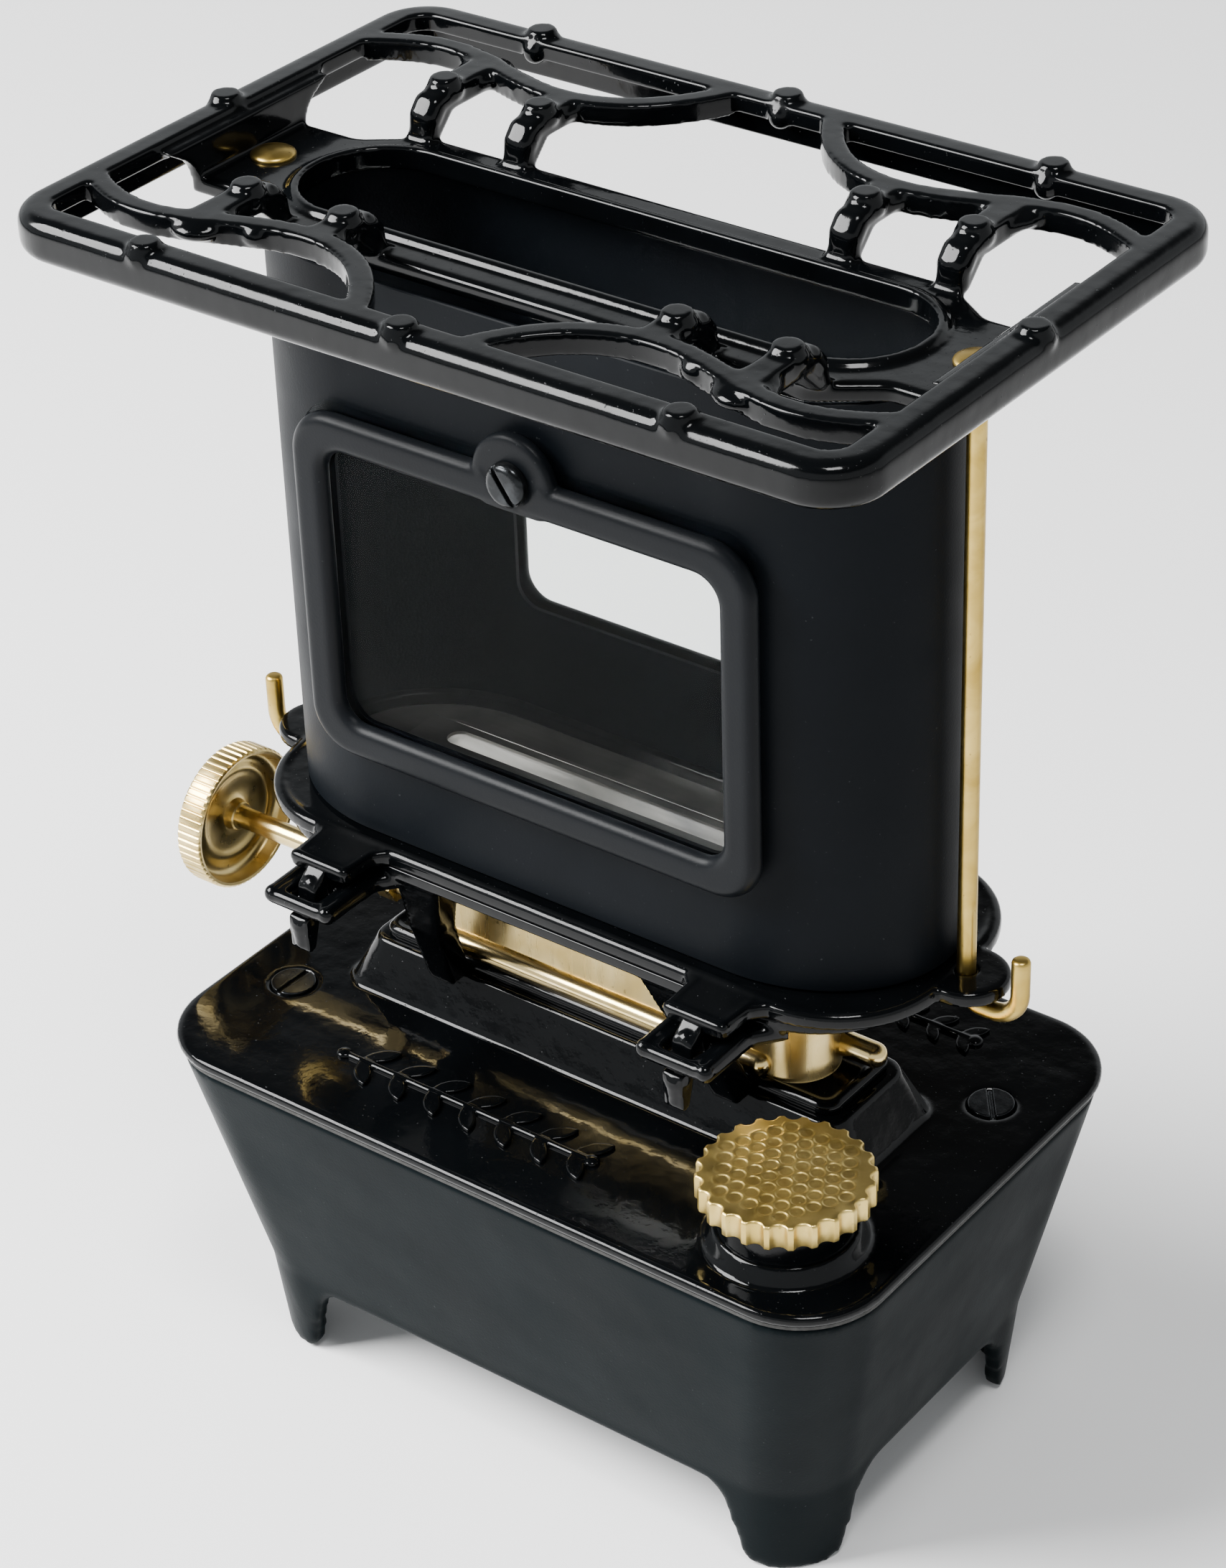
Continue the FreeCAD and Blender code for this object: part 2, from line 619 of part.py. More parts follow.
def polygon_prism_x(radii, x0, x1):
    """Prism along X about the shaft's line, its corners at the given radii, evenly spaced."""
    count = len(radii)
    points = []
    for i in range(count + 1):
        angle = 2 * math.pi * i / count
        radius = radii[i % count]
        points.append(vec(x0, SHAFT_Y + radius * math.cos(angle), SHAFT_Z + radius * math.sin(angle)))
    return Part.Face(Part.makePolygon(points)).extrude(vec(x1 - x0, 0, 0))


def make_shaft_gland():
    """Packing gland on the burner's end: hexagon outside, running bore inside."""
    x0, x1 = GLAND_X
    nut = polygon_prism_x([GLAND_NUT_R] * 6, x0, x0 + GLAND_NUT_LENGTH)
    barrel = shaft_cylinder(GLAND_BARREL_R, x0 + GLAND_NUT_LENGTH - PAST, x1)
    gland = fuse_all([nut, barrel])
    return gland.cut(shaft_cylinder(SHAFT_CORE_R + SHAFT_RUNNING_GAP, x0 - PAST, x1 + PAST))


def make_shaft_bearing():
    """Upright bracket inside the burner that carries the shaft's far end."""
    x0, x1 = BEARING_X
    bracket = box_between(x0, x1, BEARING_Y[0], BEARING_Y[1], FLANGE_TOP_Z, SHAFT_Z + BEARING_CAP_T)
    return bracket.cut(shaft_cylinder(SHAFT_CORE_R + SHAFT_RUNNING_GAP, x0 - PAST, x1 + PAST))


def make_wick_shaft():
    core = shaft_cylinder(SHAFT_CORE_R, WHEEL_X[0] + WHEEL_WEB[0][1], SHAFT_FAR_X)
    sleeve = shaft_cylinder(SHAFT_SLEEVE_R, WHEEL_X[0] + SLEEVE_START, GLAND_X[0] - GLAND_END_GAP)
    return fuse_all([core, sleeve])


def make_wick_sprocket(x):
    """Toothed disc that grips the wick's front face."""
    radii = [SPROCKET_R, SPROCKET_R - SPROCKET_TOOTH] * SPROCKET_POINTS
    disc = polygon_prism_x(radii, x - SPROCKET_T / 2, x + SPROCKET_T / 2)
    return disc.cut(shaft_cylinder(SHAFT_CORE_R, x - SPROCKET_T, x + SPROCKET_T))


def make_wick_wheel():
    """Spun hand wheel: knurled rim, dished web with one raised ring, and a hub."""
    x0, x1 = WHEEL_X
    rim = polygon_prism_x([WHEEL_R, WHEEL_R - WHEEL_KNURL_DEPTH] * WHEEL_KNURLS, x0, x1)
    rim = rim.cut(shaft_cylinder(WHEEL_R - WHEEL_BAND_T, x0 - PAST, x1 + PAST))
    section = [vec(x0 + depth, SHAFT_Y + radius, SHAFT_Z) for radius, depth in WHEEL_WEB + WHEEL_WEB[:1]]
    dish = Part.Face(Part.makePolygon(section)).revolve(vec(0, SHAFT_Y, SHAFT_Z), vec(1, 0, 0), 360)
    return fuse_all([rim, dish])


# ---------------------------------------------------------------- chimney castings

def tab_slab(half_width, front_y, root_y, z0, z1):
    """Front tab, as a slab from the flange to its front edge, widening at the root."""
    flare = half_width + TAB_ROOT_FLARE
    points = [(TAB_X - half_width, front_y), (TAB_X + half_width, front_y),
              (TAB_X + half_width, root_y - TAB_ROOT_R), (TAB_X + flare, root_y + TAB_ROOT_R),
              (TAB_X - flare, root_y + TAB_ROOT_R), (TAB_X - half_width, root_y - TAB_ROOT_R)]
    radii = [TAB_CORNER_R, TAB_CORNER_R, TAB_ROOT_R, 0, 0, TAB_ROOT_R]
    return Part.Face(plan_wire(points, radii, z0)).extrude(vec(0, 0, z1 - z0))


def hinge_shelf():
    """Right shelf, with the slot that leaves a bar in front for the chimney's hook."""
    shelf = tab_slab(SHELF_HALF_W, SHELF_FRONT_Y, -GALLERY_PLAN[1], SHELF_Z[0], SHELF_Z[1])
    front_edges = [e for e in edges_at_z(shelf, SHELF_Z[1]) + edges_at_z(shelf, SHELF_Z[0])
                   if e.BoundBox.YMax < SLOT_Y[1]]
    shelf = shelf.makeFillet(SHELF_EDGE_R, front_edges)
    half_w = HOOK_HALF_W + HOOK_SIDE_GAP
    return shelf.cut(box_between(TAB_X - half_w, TAB_X + half_w, SLOT_Y[0], SLOT_Y[1],
                                 SHELF_Z[0] - PAST, SHELF_Z[1] + PAST))


def leg_section(x0, x1, y0, y1, z):
    return Part.makePolygon([vec(x0, y0, z), vec(x1, y0, z), vec(x1, y1, z), vec(x0, y1, z), vec(x0, y0, z)])


def gallery_leg():
    """Front right leg: a fin leaning back from the flange to the platform's front edge."""
    middle = leg_section(*LEG_MIDDLE)
    upper = Part.makeLoft([middle, leg_section(*LEG_TOP)], True, True)
    lower = Part.makeLoft([leg_section(*LEG_FOOT), middle], True, True)
    return upper.fuse(lower)


def make_gallery():
    """Lower casting: open flange carrying two hinge shelves, on four splayed legs."""
    flange = rounded_slab(GALLERY_PLAN, GALLERY_BOTTOM_Z, GALLERY_TOP_Z)
    opening = rounded_slab(GALLERY_OPENING, GALLERY_BOTTOM_Z - PAST, GALLERY_TOP_Z + PAST)
    shelf = hinge_shelf()
    leg = gallery_leg()
    pieces = [flange.cut(opening), shelf, mirror_x(shelf)]
    pieces += [leg, mirror_x(leg), mirror_y(leg), mirror_x(mirror_y(leg))]
    return fuse_all(pieces)


def drum_oval(inward, z0, z1):
    """Oval slab set in from the drum's outside."""
    return oval_slab(DRUM_HALF_STRAIGHT, DRUM_END_LENGTH - inward, DRUM_HALF_DEPTH - inward, z0, z1)


def make_chimney_ring():
    """Upper casting: flange with two rod ears, two front tabs and a locating lip for the drum."""
    pieces = [rounded_slab(RING_PLAN, RING_BOTTOM_Z, RING_TOP_Z)]
    for side in (-1, 1):
        pieces.append(cylinder_z(side * EAR_X, 0, EAR_R, RING_BOTTOM_Z, RING_TOP_Z))
        tab = tab_slab(TAB_HALF_W, TAB_FRONT_Y, -RING_PLAN[1], RING_BOTTOM_Z, RING_TOP_Z)
        pieces.append(tab if side > 0 else mirror_x(tab))
    ring = fuse_all(pieces)
    ring = ring.makeFillet(RING_EDGE_R, edges_at_z(ring, RING_TOP_Z))
    lip_inset, ledge_inset, throat_inset = DRUM_SEAT
    above = RING_TOP_Z + RING_LIP_HEIGHT + PAST
    ring = ring.fuse(drum_oval(lip_inset, RING_TOP_Z - PAST, RING_TOP_Z + RING_LIP_HEIGHT))
    ring = ring.cut(drum_oval(ledge_inset, DECK_Z, above))
    ring = ring.cut(drum_oval(throat_inset, RING_BOTTOM_Z - PAST, above))
    for side in (-1, 1):
        ring = ring.cut(cylinder_z(side * EAR_X, 0, ROD_R + ROD_HOLE_GAP, RING_BOTTOM_Z - PAST, above))
    return ring


def make_hinge_hook(side):
    """Hook under the ring's tab: an arm down through the slot, and a prong that passes below the bar."""
    arm_front = HINGE_Y + HINGE_CLEAR_R
    shoulder_z = HINGE_Z - HINGE_CLEAR_R
    points = [(-41.5, RING_BOTTOM_Z), (HOOK_BACK_Y, RING_BOTTOM_Z - 1.8), (HOOK_BACK_Y, shoulder_z + 1.4),
              (HINGE_Y + 3.9, shoulder_z - 1.7), (HINGE_Y + 1.8, HOOK_TIP_Z), (HINGE_Y - 0.6, HOOK_TIP_Z),
              (HINGE_Y - 1.1, shoulder_z - 1.7), (HINGE_Y - 0.9, shoulder_z), (arm_front, shoulder_z),
              (arm_front, RING_BOTTOM_Z - 1.2), (TAB_FRONT_Y, RING_TOP_Z - 1.4), (TAB_FRONT_Y, RING_BOTTOM_Z)]
    radii = [0, 1.0, 2.0, 2.0, 0.9, 0.9, 1.0, 0.6, 0.8, 1.6, 0, 0]
    x = side * TAB_X - HOOK_HALF_W
    hook = Part.Face(side_wire(points, radii, x)).extrude(vec(2 * HOOK_HALF_W, 0, 0))
    ring_tab = box_between(-RING_PLAN[0], RING_PLAN[0], TAB_FRONT_Y, 0, RING_BOTTOM_Z, RING_TOP_Z)
    return hook.cut(ring_tab)


# ---------------------------------------------------------------- drum, deck and windows

def window_prism(plan, z, y0, y1):
    """Slab in the XZ plane between y0 and y1, a rounded rectangle centred at height z."""
    half_x, half_z, radius = plan
    points = [(px, z + pz) for px, pz in rectangle_points(half_x, half_z)]
    return Part.Face(front_wire(points, [radius] * 4, y0)).extrude(vec(0, y1 - y0, 0))


def make_drum():
    shell = drum_oval(0, DRUM_BOTTOM_Z, DRUM_TOP_Z)
    shell = shell.cut(drum_oval(DRUM_WALL, DRUM_BOTTOM_Z - PAST, DRUM_TOP_Z + PAST))
    reach = DRUM_HALF_DEPTH + PAST
    shell = shell.cut(window_prism(WINDOW_OPENING, WINDOW_MID_Z, -reach, reach))
    return shell.cut(cylinder_y(0, PIVOT_Z, PIVOT_SHANK_R + PIVOT_WALL_GAP, -reach, reach))


def make_flame_deck():
    """Deck plate above the burner, with a raised lip round the long flame slot."""
    deck = drum_oval(DRUM_SEAT[1] + DECK_GAP, DECK_Z, DECK_Z + DECK_T)
    lip = stadium_slab(FLAME_SLOT_HALF, FLAME_SLOT_R + DECK_T, DECK_Z, DECK_Z + DECK_LIP_HEIGHT)
    slot = stadium_slab(FLAME_SLOT_HALF, FLAME_SLOT_R, DECK_Z - PAST, DECK_Z + DECK_LIP_HEIGHT + PAST)
    return deck.fuse(lip).cut(slot)


def make_deck_spreader():
    """Arched strip that straddles the flame slot, with its own narrow slot for the flame."""
    outer = list(SPREADER_OUTER)
    inner = list(SPREADER_INNER)
    section = [(-y, z) for y, z in outer] + outer[::-1] + inner + [(-y, z) for y, z in inner[::-1]]
    base = DECK_Z + DECK_T
    points = [(y, base + z) for y, z in section]
    bends = [0, 2.0, 2.0, 0, 0, 1.2, 1.2, 0]
    length = 2 * SPREADER_HALF_LENGTH
    strip = Part.Face(side_wire(points, bends, -SPREADER_HALF_LENGTH)).extrude(vec(length, 0, 0))
    inside_lip = stadium_slab(FLAME_SLOT_HALF, FLAME_SLOT_R + DECK_T + DECK_GAP,
                              DECK_Z, DECK_Z + DECK_LIP_HEIGHT + DECK_GAP)
    flame_gap = stadium_slab(SPREADER_SLOT_HALF, SPREADER_SLOT_R, DECK_Z, base + outer[1][1] + PAST)
    return strip.cut(inside_lip).cut(flame_gap)


def make_window_frame():
    """Pressed half-round frame with a round pad for the pivot screw, on the front side."""
    y0, y1 = FRAME_Y
    outer = window_prism(FRAME_OUTER, WINDOW_MID_Z, -y1, -y0)
    inner = window_prism(FRAME_INNER, WINDOW_MID_Z, -y1 - PAST, -y0 + PAST)
    ring = outer.cut(inner)
    ring = ring.makeFillet(FRAME_EDGE_R, edges_at_y(ring, -y1))
    pad_front = -y1 + BUMP_STEP
    pad = cylinder_y(0, PIVOT_Z, BUMP_R, pad_front, -y0)
    pad = pad.makeFillet(BUMP_EDGE_R, edges_at_y(pad, pad_front))
    below = box_between(-BUMP_R, BUMP_R, -y1 - PAST, 0, WINDOW_MID_Z, WINDOW_MID_Z + FRAME_INNER[1])
    frame = ring.fuse(pad.cut(below))
    frame = frame.cut(cylinder_y(0, PIVOT_Z, PIVOT_HEAD_R + HEAD_SEAT_GAP, -y1 - PAST, pad_front))
    return frame.cut(cylinder_y(0, PIVOT_Z, PIVOT_SHANK_R + SHAFT_RUNNING_GAP, -y1 - PAST, 0))


def make_window_glass():
    pane = window_prism(GLASS_HALF, WINDOW_MID_Z + GLASS_RISE, -GLASS_Y[1], -GLASS_Y[0])
    return pane.cut(cylinder_y(0, PIVOT_Z + PAST, GLASS_NOTCH_R, -GLASS_Y[1] - PAST, 0))


def make_pivot_screw():
    """Round-head slotted screw through the pad and the drum's wall."""
    head_back = -FRAME_Y[1] + HEAD_SEAT_DEPTH
    head_front = head_back - PIVOT_HEAD_T
    head = cylinder_y(0, PIVOT_Z, PIVOT_HEAD_R, head_front, head_back)
    head = head.makeFillet(PIVOT_HEAD_ROUND_R, edges_at_y(head, head_front))
    slot = box_between(-PIVOT_HEAD_R - PAST, PIVOT_HEAD_R + PAST, head_front - PAST, head_front + SLOT_WIDTH,
                       PIVOT_Z - SLOT_WIDTH / 2, PIVOT_Z + SLOT_WIDTH / 2)
    slot.rotate(vec(0, 0, PIVOT_Z), vec(0, 1, 0), PIVOT_SLOT_TURN)
    shank = cylinder_y(0, PIVOT_Z, PIVOT_SHANK_R, head_back, PIVOT_SHANK_END_Y)
    return fuse_all([head.cut(slot), shank])


def make_pivot_nut():
    y_back = -DRUM_HALF_DEPTH + DRUM_WALL
    hexagon = Part.makePolygon([vec(NUT_R * math.cos(math.pi * i / 3), y_back,
                                    PIVOT_Z + NUT_R * math.sin(math.pi * i / 3)) for i in range(7)])
    nut = Part.Face(hexagon).extrude(vec(0, NUT_T, 0))
    bore_r = PIVOT_SHANK_R + NUT_THREAD_GAP
    return nut.cut(cylinder_y(0, PIVOT_Z, bore_r, y_back - PAST, y_back + NUT_T + PAST))


# ---------------------------------------------------------------- trivet and rods

def stud(x, y, base_z):
    """Flat-topped stud on a slightly waisted neck."""
    head_z = TOTAL_HEIGHT - STUD_HEAD_T
    neck = Part.makeCone(STUD_R + STUD_FLARE, STUD_R - STUD_FLARE, head_z + 0.1 - base_z, vec(x, y, base_z))
    head = cylinder_z(x, y, STUD_R, head_z, TOTAL_HEIGHT)
    return fuse_all([neck, head])


def make_trivet_rim():
    outer = rounded_slab(RIM_OUTER, RIM_Z[0], RIM_Z[1])
    outer = outer.makeFillet(RIM_ROUND_R, edges_at_z(outer, RIM_Z[1]) + edges_at_z(outer, RIM_Z[0]))
    inner = rounded_slab(RIM_INNER, RIM_Z[0] - PAST, RIM_Z[1] + PAST)
    under = rounded_slab(inset(RIM_OUTER, RIM_SKIRT_T), RIM_Z[0] - PAST, RIM_WEB_BOTTOM_Z)
    rim = outer.cut(inner).cut(under)
    places = set()
    for x, y in PERIMETER_STUDS:
        for sx in (-1, 1):
            for sy in (-1, 1):
                places.add((sx * x + 0.0, sy * y + 0.0))
    return fuse_all([rim] + [stud(x, y, RIM_Z[1] - PAST) for x, y in sorted(places)])


def band_solid():
    """Flat scroll that winds from the end bar round a crest and a dip to the long bar."""
    curve = Part.BSplineCurve()
    curve.interpolate([vec(x, -y, BAND_Z[0]) for x, y in SCROLL_LINE])
    half = BAND_WIDTH / 2
    left = []
    right = []
    for i in range(SCROLL_STEPS + 1):
        at = curve.FirstParameter + (curve.LastParameter - curve.FirstParameter) * i / SCROLL_STEPS
        point = curve.value(at)
        tangent = curve.tangent(at)[0]
        side = vec(-tangent.y, tangent.x, 0)
        side.normalize()
        left.append(point + side * half)
        right.append(point - side * half)
    left_curve = Part.BSplineCurve()
    left_curve.interpolate(left)
    right_curve = Part.BSplineCurve()
    right_curve.interpolate(right)
    wire = Part.Wire([left_curve.toShape(), Part.makeLine(left[-1], right[-1]),
                      right_curve.toShape(), Part.makeLine(right[0], left[0])])
    return Part.Face(wire).extrude(vec(0, 0, BAND_Z[1] - BAND_Z[0]))


def riser(x, y):
    """Curved strap from an inner stud down to the sunk plate."""
    outer_y = -y - 2.6
    inner_y = -y + 3.0
    plate_y = -PLATE_HALF[1]
    points = [(outer_y, BAND_Z[1]), (outer_y, BAND_Z[0]), (-y + 0.8, BAND_Z[0]),
              (plate_y + 0.6, PLATE_TOP_Z - 0.6), (plate_y + 4.6, PLATE_TOP_Z),
              (inner_y, BAND_Z[1] - 1.0), (inner_y - 1.0, BAND_Z[1])]
    radii = [0, 0, 2.0, 0, 0, 2.5, 0]
    return Part.Face(side_wire(points, radii, x - STRAP_HALF_W)).extrude(vec(2 * STRAP_HALF_W, 0, 0))


def scroll_quarter():
    pieces = [band_solid()]
    for (x, y), reach in zip(INNER_STUDS, ARM_REACH):
        pieces.append(box_between(x - ARM_HALF_W, x + ARM_HALF_W, -reach, -y, BAND_Z[0], BAND_Z[1]))
        pieces.append(riser(x, y))
        pieces.append(stud(x, -y, BAND_Z[1] - PAST))
    return fuse_all(pieces)


def make_trivet_scrolls(rim, plate):
    quarter = scroll_quarter().cut(rim).cut(plate)
    quarters = [quarter, mirror_x(quarter), mirror_y(quarter), mirror_x(mirror_y(quarter))]
    return Part.makeCompound(quarters)


def end_wall(side, end_x):
    """Upright wall at one end of the plate, flaring outwards near its top."""
    foot = PLATE_TAB_HALF_W
    bend = foot + END_WALL_FLARE[0]
    top = foot + END_WALL_FLARE[1]
    points = [(-foot, PLATE_TOP_Z - PAST), (foot, PLATE_TOP_Z - PAST), (bend, END_WALL_BEND_Z),
              (top, END_WALL_TOP_Z), (-top, END_WALL_TOP_Z), (-bend, END_WALL_BEND_Z)]
    wall = Part.Face(side_wire(points, [0, 0, 6, 0, 0, 6], side * end_x))
    return wall.extrude(vec(-side * END_WALL_T, 0, 0))


def make_trivet_plate():
    half_x, half_y = PLATE_HALF
    end_x = RIM_INNER[0] - 0.3
    tab = PLATE_TAB_HALF_W
    corner = PLATE_SHOULDER_X
    outline = [(-corner, -half_y), (corner, -half_y), (half_x, -tab), (end_x, -tab), (end_x, tab),
               (half_x, tab), (corner, half_y), (-corner, half_y), (-half_x, tab), (-end_x, tab),
               (-end_x, -tab), (-half_x, -tab)]
    radii = [6, 6, 5, 0, 0, 5, 6, 6, 5, 0, 0, 5]
    plate = Part.Face(plan_wire(outline, radii, PLATE_BOTTOM_Z)).extrude(
        vec(0, 0, PLATE_TOP_Z - PLATE_BOTTOM_Z))
    long_edges = [e for e in edges_at_z(plate, PLATE_TOP_Z)
                  if min(abs(e.BoundBox.XMin), abs(e.BoundBox.XMax)) < end_x - OVERLAP]
    plate = plate.makeFillet(PLATE_EDGE_R, long_edges)
    half_long, half_short = PLATE_OPENING
    straight = half_long - half_short
    lip_top = PLATE_TOP_Z + LIP_HEIGHT
    lip = stadium_slab(straight, half_short + LIP_WIDTH, PLATE_TOP_Z - PAST, lip_top)
    lip = lip.makeFillet(LIP_HEIGHT - 0.2, edges_at_z(lip, lip_top))
    plate = fuse_all([plate, lip, end_wall(-1, end_x), end_wall(1, end_x)])
    plate = plate.cut(stadium_slab(straight, half_short, PLATE_BOTTOM_Z - PAST, lip_top + PAST))
    for side in (-1, 1):
        plate = plate.cut(cylinder_z(side * EAR_X, 0, ROD_R + ROD_HOLE_GAP,
                                     PLATE_BOTTOM_Z - PAST, PLATE_TOP_Z + PAST))
    return plate


def quarter_turn(centre, radius, start_angle, side):
    """Arc of the rod's line: a quarter turn in the XZ plane, in two halves of 45 degrees."""
    places = []
    for step in (0, 1, 2):
        angle = start_angle + step * math.pi / 4
        places.append(centre + vec(side * radius * math.cos(angle), 0, radius * math.sin(angle)))
    return Part.Arc(*places).toShape()


def make_tie_rod(side):
    """Rod with a peened head above the plate and a hook turned up outside the ear."""
    x = side * EAR_X
    tip_x = x + side * HOOK_REACH
    bottom_z = HOOK_TURN_Z - HOOK_BEND_R
    first_x = x + side * HOOK_BEND_R
    second_x = tip_x - side * HOOK_LIFT_R
    lift_z = bottom_z + HOOK_LIFT_R
    first = quarter_turn(vec(first_x, 0, HOOK_TURN_Z), HOOK_BEND_R, math.pi, side)
    second = quarter_turn(vec(second_x, 0, lift_z), HOOK_LIFT_R, 1.5 * math.pi, side)
    level = Part.makeLine(vec(first_x, 0, bottom_z), vec(second_x, 0, bottom_z))
    section = Part.Wire([Part.Circle(vec(x, 0, HOOK_TURN_Z), vec(0, 0, -1), ROD_R).toShape()])
    bend = Part.Wire([first, level, second]).makePipeShell([section], True, False)
    straight = cylinder_z(x, 0, ROD_R, HOOK_TURN_Z, PLATE_TOP_Z)
    tip = cylinder_z(tip_x, 0, ROD_R, lift_z, HOOK_POINT_Z)
    tip = tip.makeFillet(ROD_TIP_ROUND_R, edges_at_z(tip, HOOK_POINT_Z))
    head_top = PLATE_TOP_Z + ROD_HEAD_T
    head = cylinder_z(x, 0, ROD_HEAD_R, PLATE_TOP_Z, head_top)
    head = head.makeFillet(ROD_HEAD_ROUND_R, edges_at_z(head, head_top))
    return fuse_all([straight, bend, tip, head])


# ---------------------------------------------------------------- export

export(make_tank_body(), "tank_body")
export(make_tank_gasket(), "tank_gasket")
export(make_tank_lid(), "tank_lid")
export(make_lid_screw(-1), "lid_screw_left")
export(make_lid_screw(1), "lid_screw_right")
export(leaf_spray(*FRONT_SPRAY), "lid_ornament_front")
export(leaf_spray(*REAR_SPRAY), "lid_ornament_rear")
export(make_filler_neck(), "filler_neck")
export(make_cap_gasket(), "cap_gasket")
export(make_filler_cap(), "filler_cap")

export(make_burner_flange(), "burner_flange")
export(make_burner_body(), "burner_body")
export(make_burner_roll(), "burner_roll")
export(make_burner_vent(), "burner_vent")
export(make_wick_tube(), "wick_tube")
export(make_wick(), "wick")
export(make_shaft_gland(), "shaft_gland")
export(make_shaft_bearing(), "shaft_bearing")
export(make_wick_shaft(), "wick_shaft")
export(make_wick_sprocket(SPROCKET_AT[0]), "sprocket_left")
export(make_wick_sprocket(SPROCKET_AT[1]), "sprocket_right")
export(make_wick_wheel(), "wick_wheel")

export(make_gallery(), "gallery")
export(make_chimney_ring(), "chimney_ring")
export(make_hinge_hook(-1), "hinge_hook_left")
export(make_hinge_hook(1), "hinge_hook_right")
export(make_drum(), "drum")
export(make_flame_deck(), "flame_deck")
export(make_deck_spreader(), "deck_spreader")

for name, place in (("front", lambda shape: shape), ("rear", mirror_y)):
    export(place(make_window_frame()), "frame_" + name)
    export(place(make_window_glass()), "glass_" + name)
    export(place(make_pivot_screw()), "pivot_screw_" + name)
    export(place(make_pivot_nut()), "pivot_nut_" + name)

trivet_rim = make_trivet_rim()
trivet_plate = make_trivet_plate()
export(trivet_rim, "trivet_rim")
export(trivet_plate, "trivet_plate")
export(make_trivet_scrolls(trivet_rim, trivet_plate), "trivet_scrolls")
export(make_tie_rod(-1), "tie_rod_left")
export(make_tie_rod(1), "tie_rod_right")
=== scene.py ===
# Kerosene heater: the visual model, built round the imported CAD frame.
# Piece lengths are millimetres in the frame's axes, and become metres as meshes are made. The
# camera's place, the lights, the floor and the depths of material bumps are in metres.
import json
import math

import bmesh
import bpy
from mathutils import Matrix, Vector


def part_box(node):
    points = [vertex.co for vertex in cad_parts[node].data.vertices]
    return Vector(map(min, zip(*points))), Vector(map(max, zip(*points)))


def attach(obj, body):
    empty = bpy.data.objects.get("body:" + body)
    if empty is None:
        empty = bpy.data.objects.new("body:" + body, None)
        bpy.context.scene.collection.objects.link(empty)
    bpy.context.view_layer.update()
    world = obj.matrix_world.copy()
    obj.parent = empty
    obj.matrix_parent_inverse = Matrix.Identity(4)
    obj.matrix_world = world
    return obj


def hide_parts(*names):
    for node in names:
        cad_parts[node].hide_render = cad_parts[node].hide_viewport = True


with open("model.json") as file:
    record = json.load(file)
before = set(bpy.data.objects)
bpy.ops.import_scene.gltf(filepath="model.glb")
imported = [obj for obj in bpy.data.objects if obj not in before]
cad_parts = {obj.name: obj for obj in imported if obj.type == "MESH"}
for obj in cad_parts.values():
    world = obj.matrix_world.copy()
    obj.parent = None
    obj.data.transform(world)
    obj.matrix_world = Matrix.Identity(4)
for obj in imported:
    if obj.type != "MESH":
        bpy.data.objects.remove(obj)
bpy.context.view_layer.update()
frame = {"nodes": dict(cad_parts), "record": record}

MM = 0.001
BODY_OF = {node: body for body, nodes in frame["record"]["behaviour"]["bodies"].items() for node in nodes}

# Camera: place in metres, angles in degrees, lens in mm on a 36 mm long side
CAMERA_AT = (0.4512, -0.5850, 0.6323)
CAMERA_AZIMUTH = 37.838
CAMERA_ELEVATION = 32.71
CAMERA_ROLL = -2.089
CAMERA_LENS = 92.8

# Heights shared by several pieces
LID_TOP_Z = 88.6
FLANGE_TOP_Z = 103.2
BURNER_TOP_Z = 123.0
BAND_TOP_Z = 294.2
STUD_TOP_Z = 295.8
PLATE_TOP_Z = 284.3


# ---------------------------------------------------------------- node helpers

def new_material(name):
    material = bpy.data.materials.new(name)
    material.use_nodes = True
    return material, material.node_tree, material.node_tree.nodes["Principled BSDF"]


def coordinates(tree, stretch=(1, 1, 1)):
    source = tree.nodes.new("ShaderNodeTexCoord")
    mapping = tree.nodes.new("ShaderNodeMapping")
    mapping.inputs["Scale"].default_value = stretch
    tree.links.new(source.outputs["Object"], mapping.inputs["Vector"])
    return mapping.outputs["Vector"]


def noise(tree, scale, detail=2.0, stretch=(1, 1, 1), distortion=0.0):
    node = tree.nodes.new("ShaderNodeTexNoise")
    node.inputs["Scale"].default_value = scale
    node.inputs["Detail"].default_value = detail
    node.inputs["Distortion"].default_value = distortion
    tree.links.new(coordinates(tree, stretch), node.inputs["Vector"])
    return node.outputs["Fac"]


def ramp(tree, factor, stops):
    """Colour ramp through (place, colour) stops; a plain number makes a grey."""
    node = tree.nodes.new("ShaderNodeValToRGB")
    elements = node.color_ramp.elements
    while len(elements) < len(stops):
        elements.new(0.5)
    for element, (place, colour) in zip(elements, stops):
        if isinstance(colour, (int, float)):
            colour = (colour,) * 3
        element.position = place
        element.color = (*colour, 1.0)
    tree.links.new(factor, node.inputs["Fac"])
    return node.outputs["Color"]


def blend_colours(tree, factor, first, second, mode="MIX"):
    node = tree.nodes.new("ShaderNodeMix")
    node.data_type = "RGBA"
    node.blend_type = mode
    for socket, value in ((node.inputs[0], factor), (node.inputs[6], first), (node.inputs[7], second)):
        if isinstance(value, bpy.types.NodeSocket):
            tree.links.new(value, socket)
        elif isinstance(value, tuple):
            socket.default_value = (*value, 1.0)
        else:
            socket.default_value = value
    return node.outputs[2]


def bump(tree, height, distance, strength=1.0, under=None):
    node = tree.nodes.new("ShaderNodeBump")
    node.inputs["Distance"].default_value = distance
    node.inputs["Strength"].default_value = strength
    tree.links.new(height, node.inputs["Height"])
    if under is not None:
        tree.links.new(under, node.inputs["Normal"])
    return node.outputs["Normal"]


# ---------------------------------------------------------------- materials

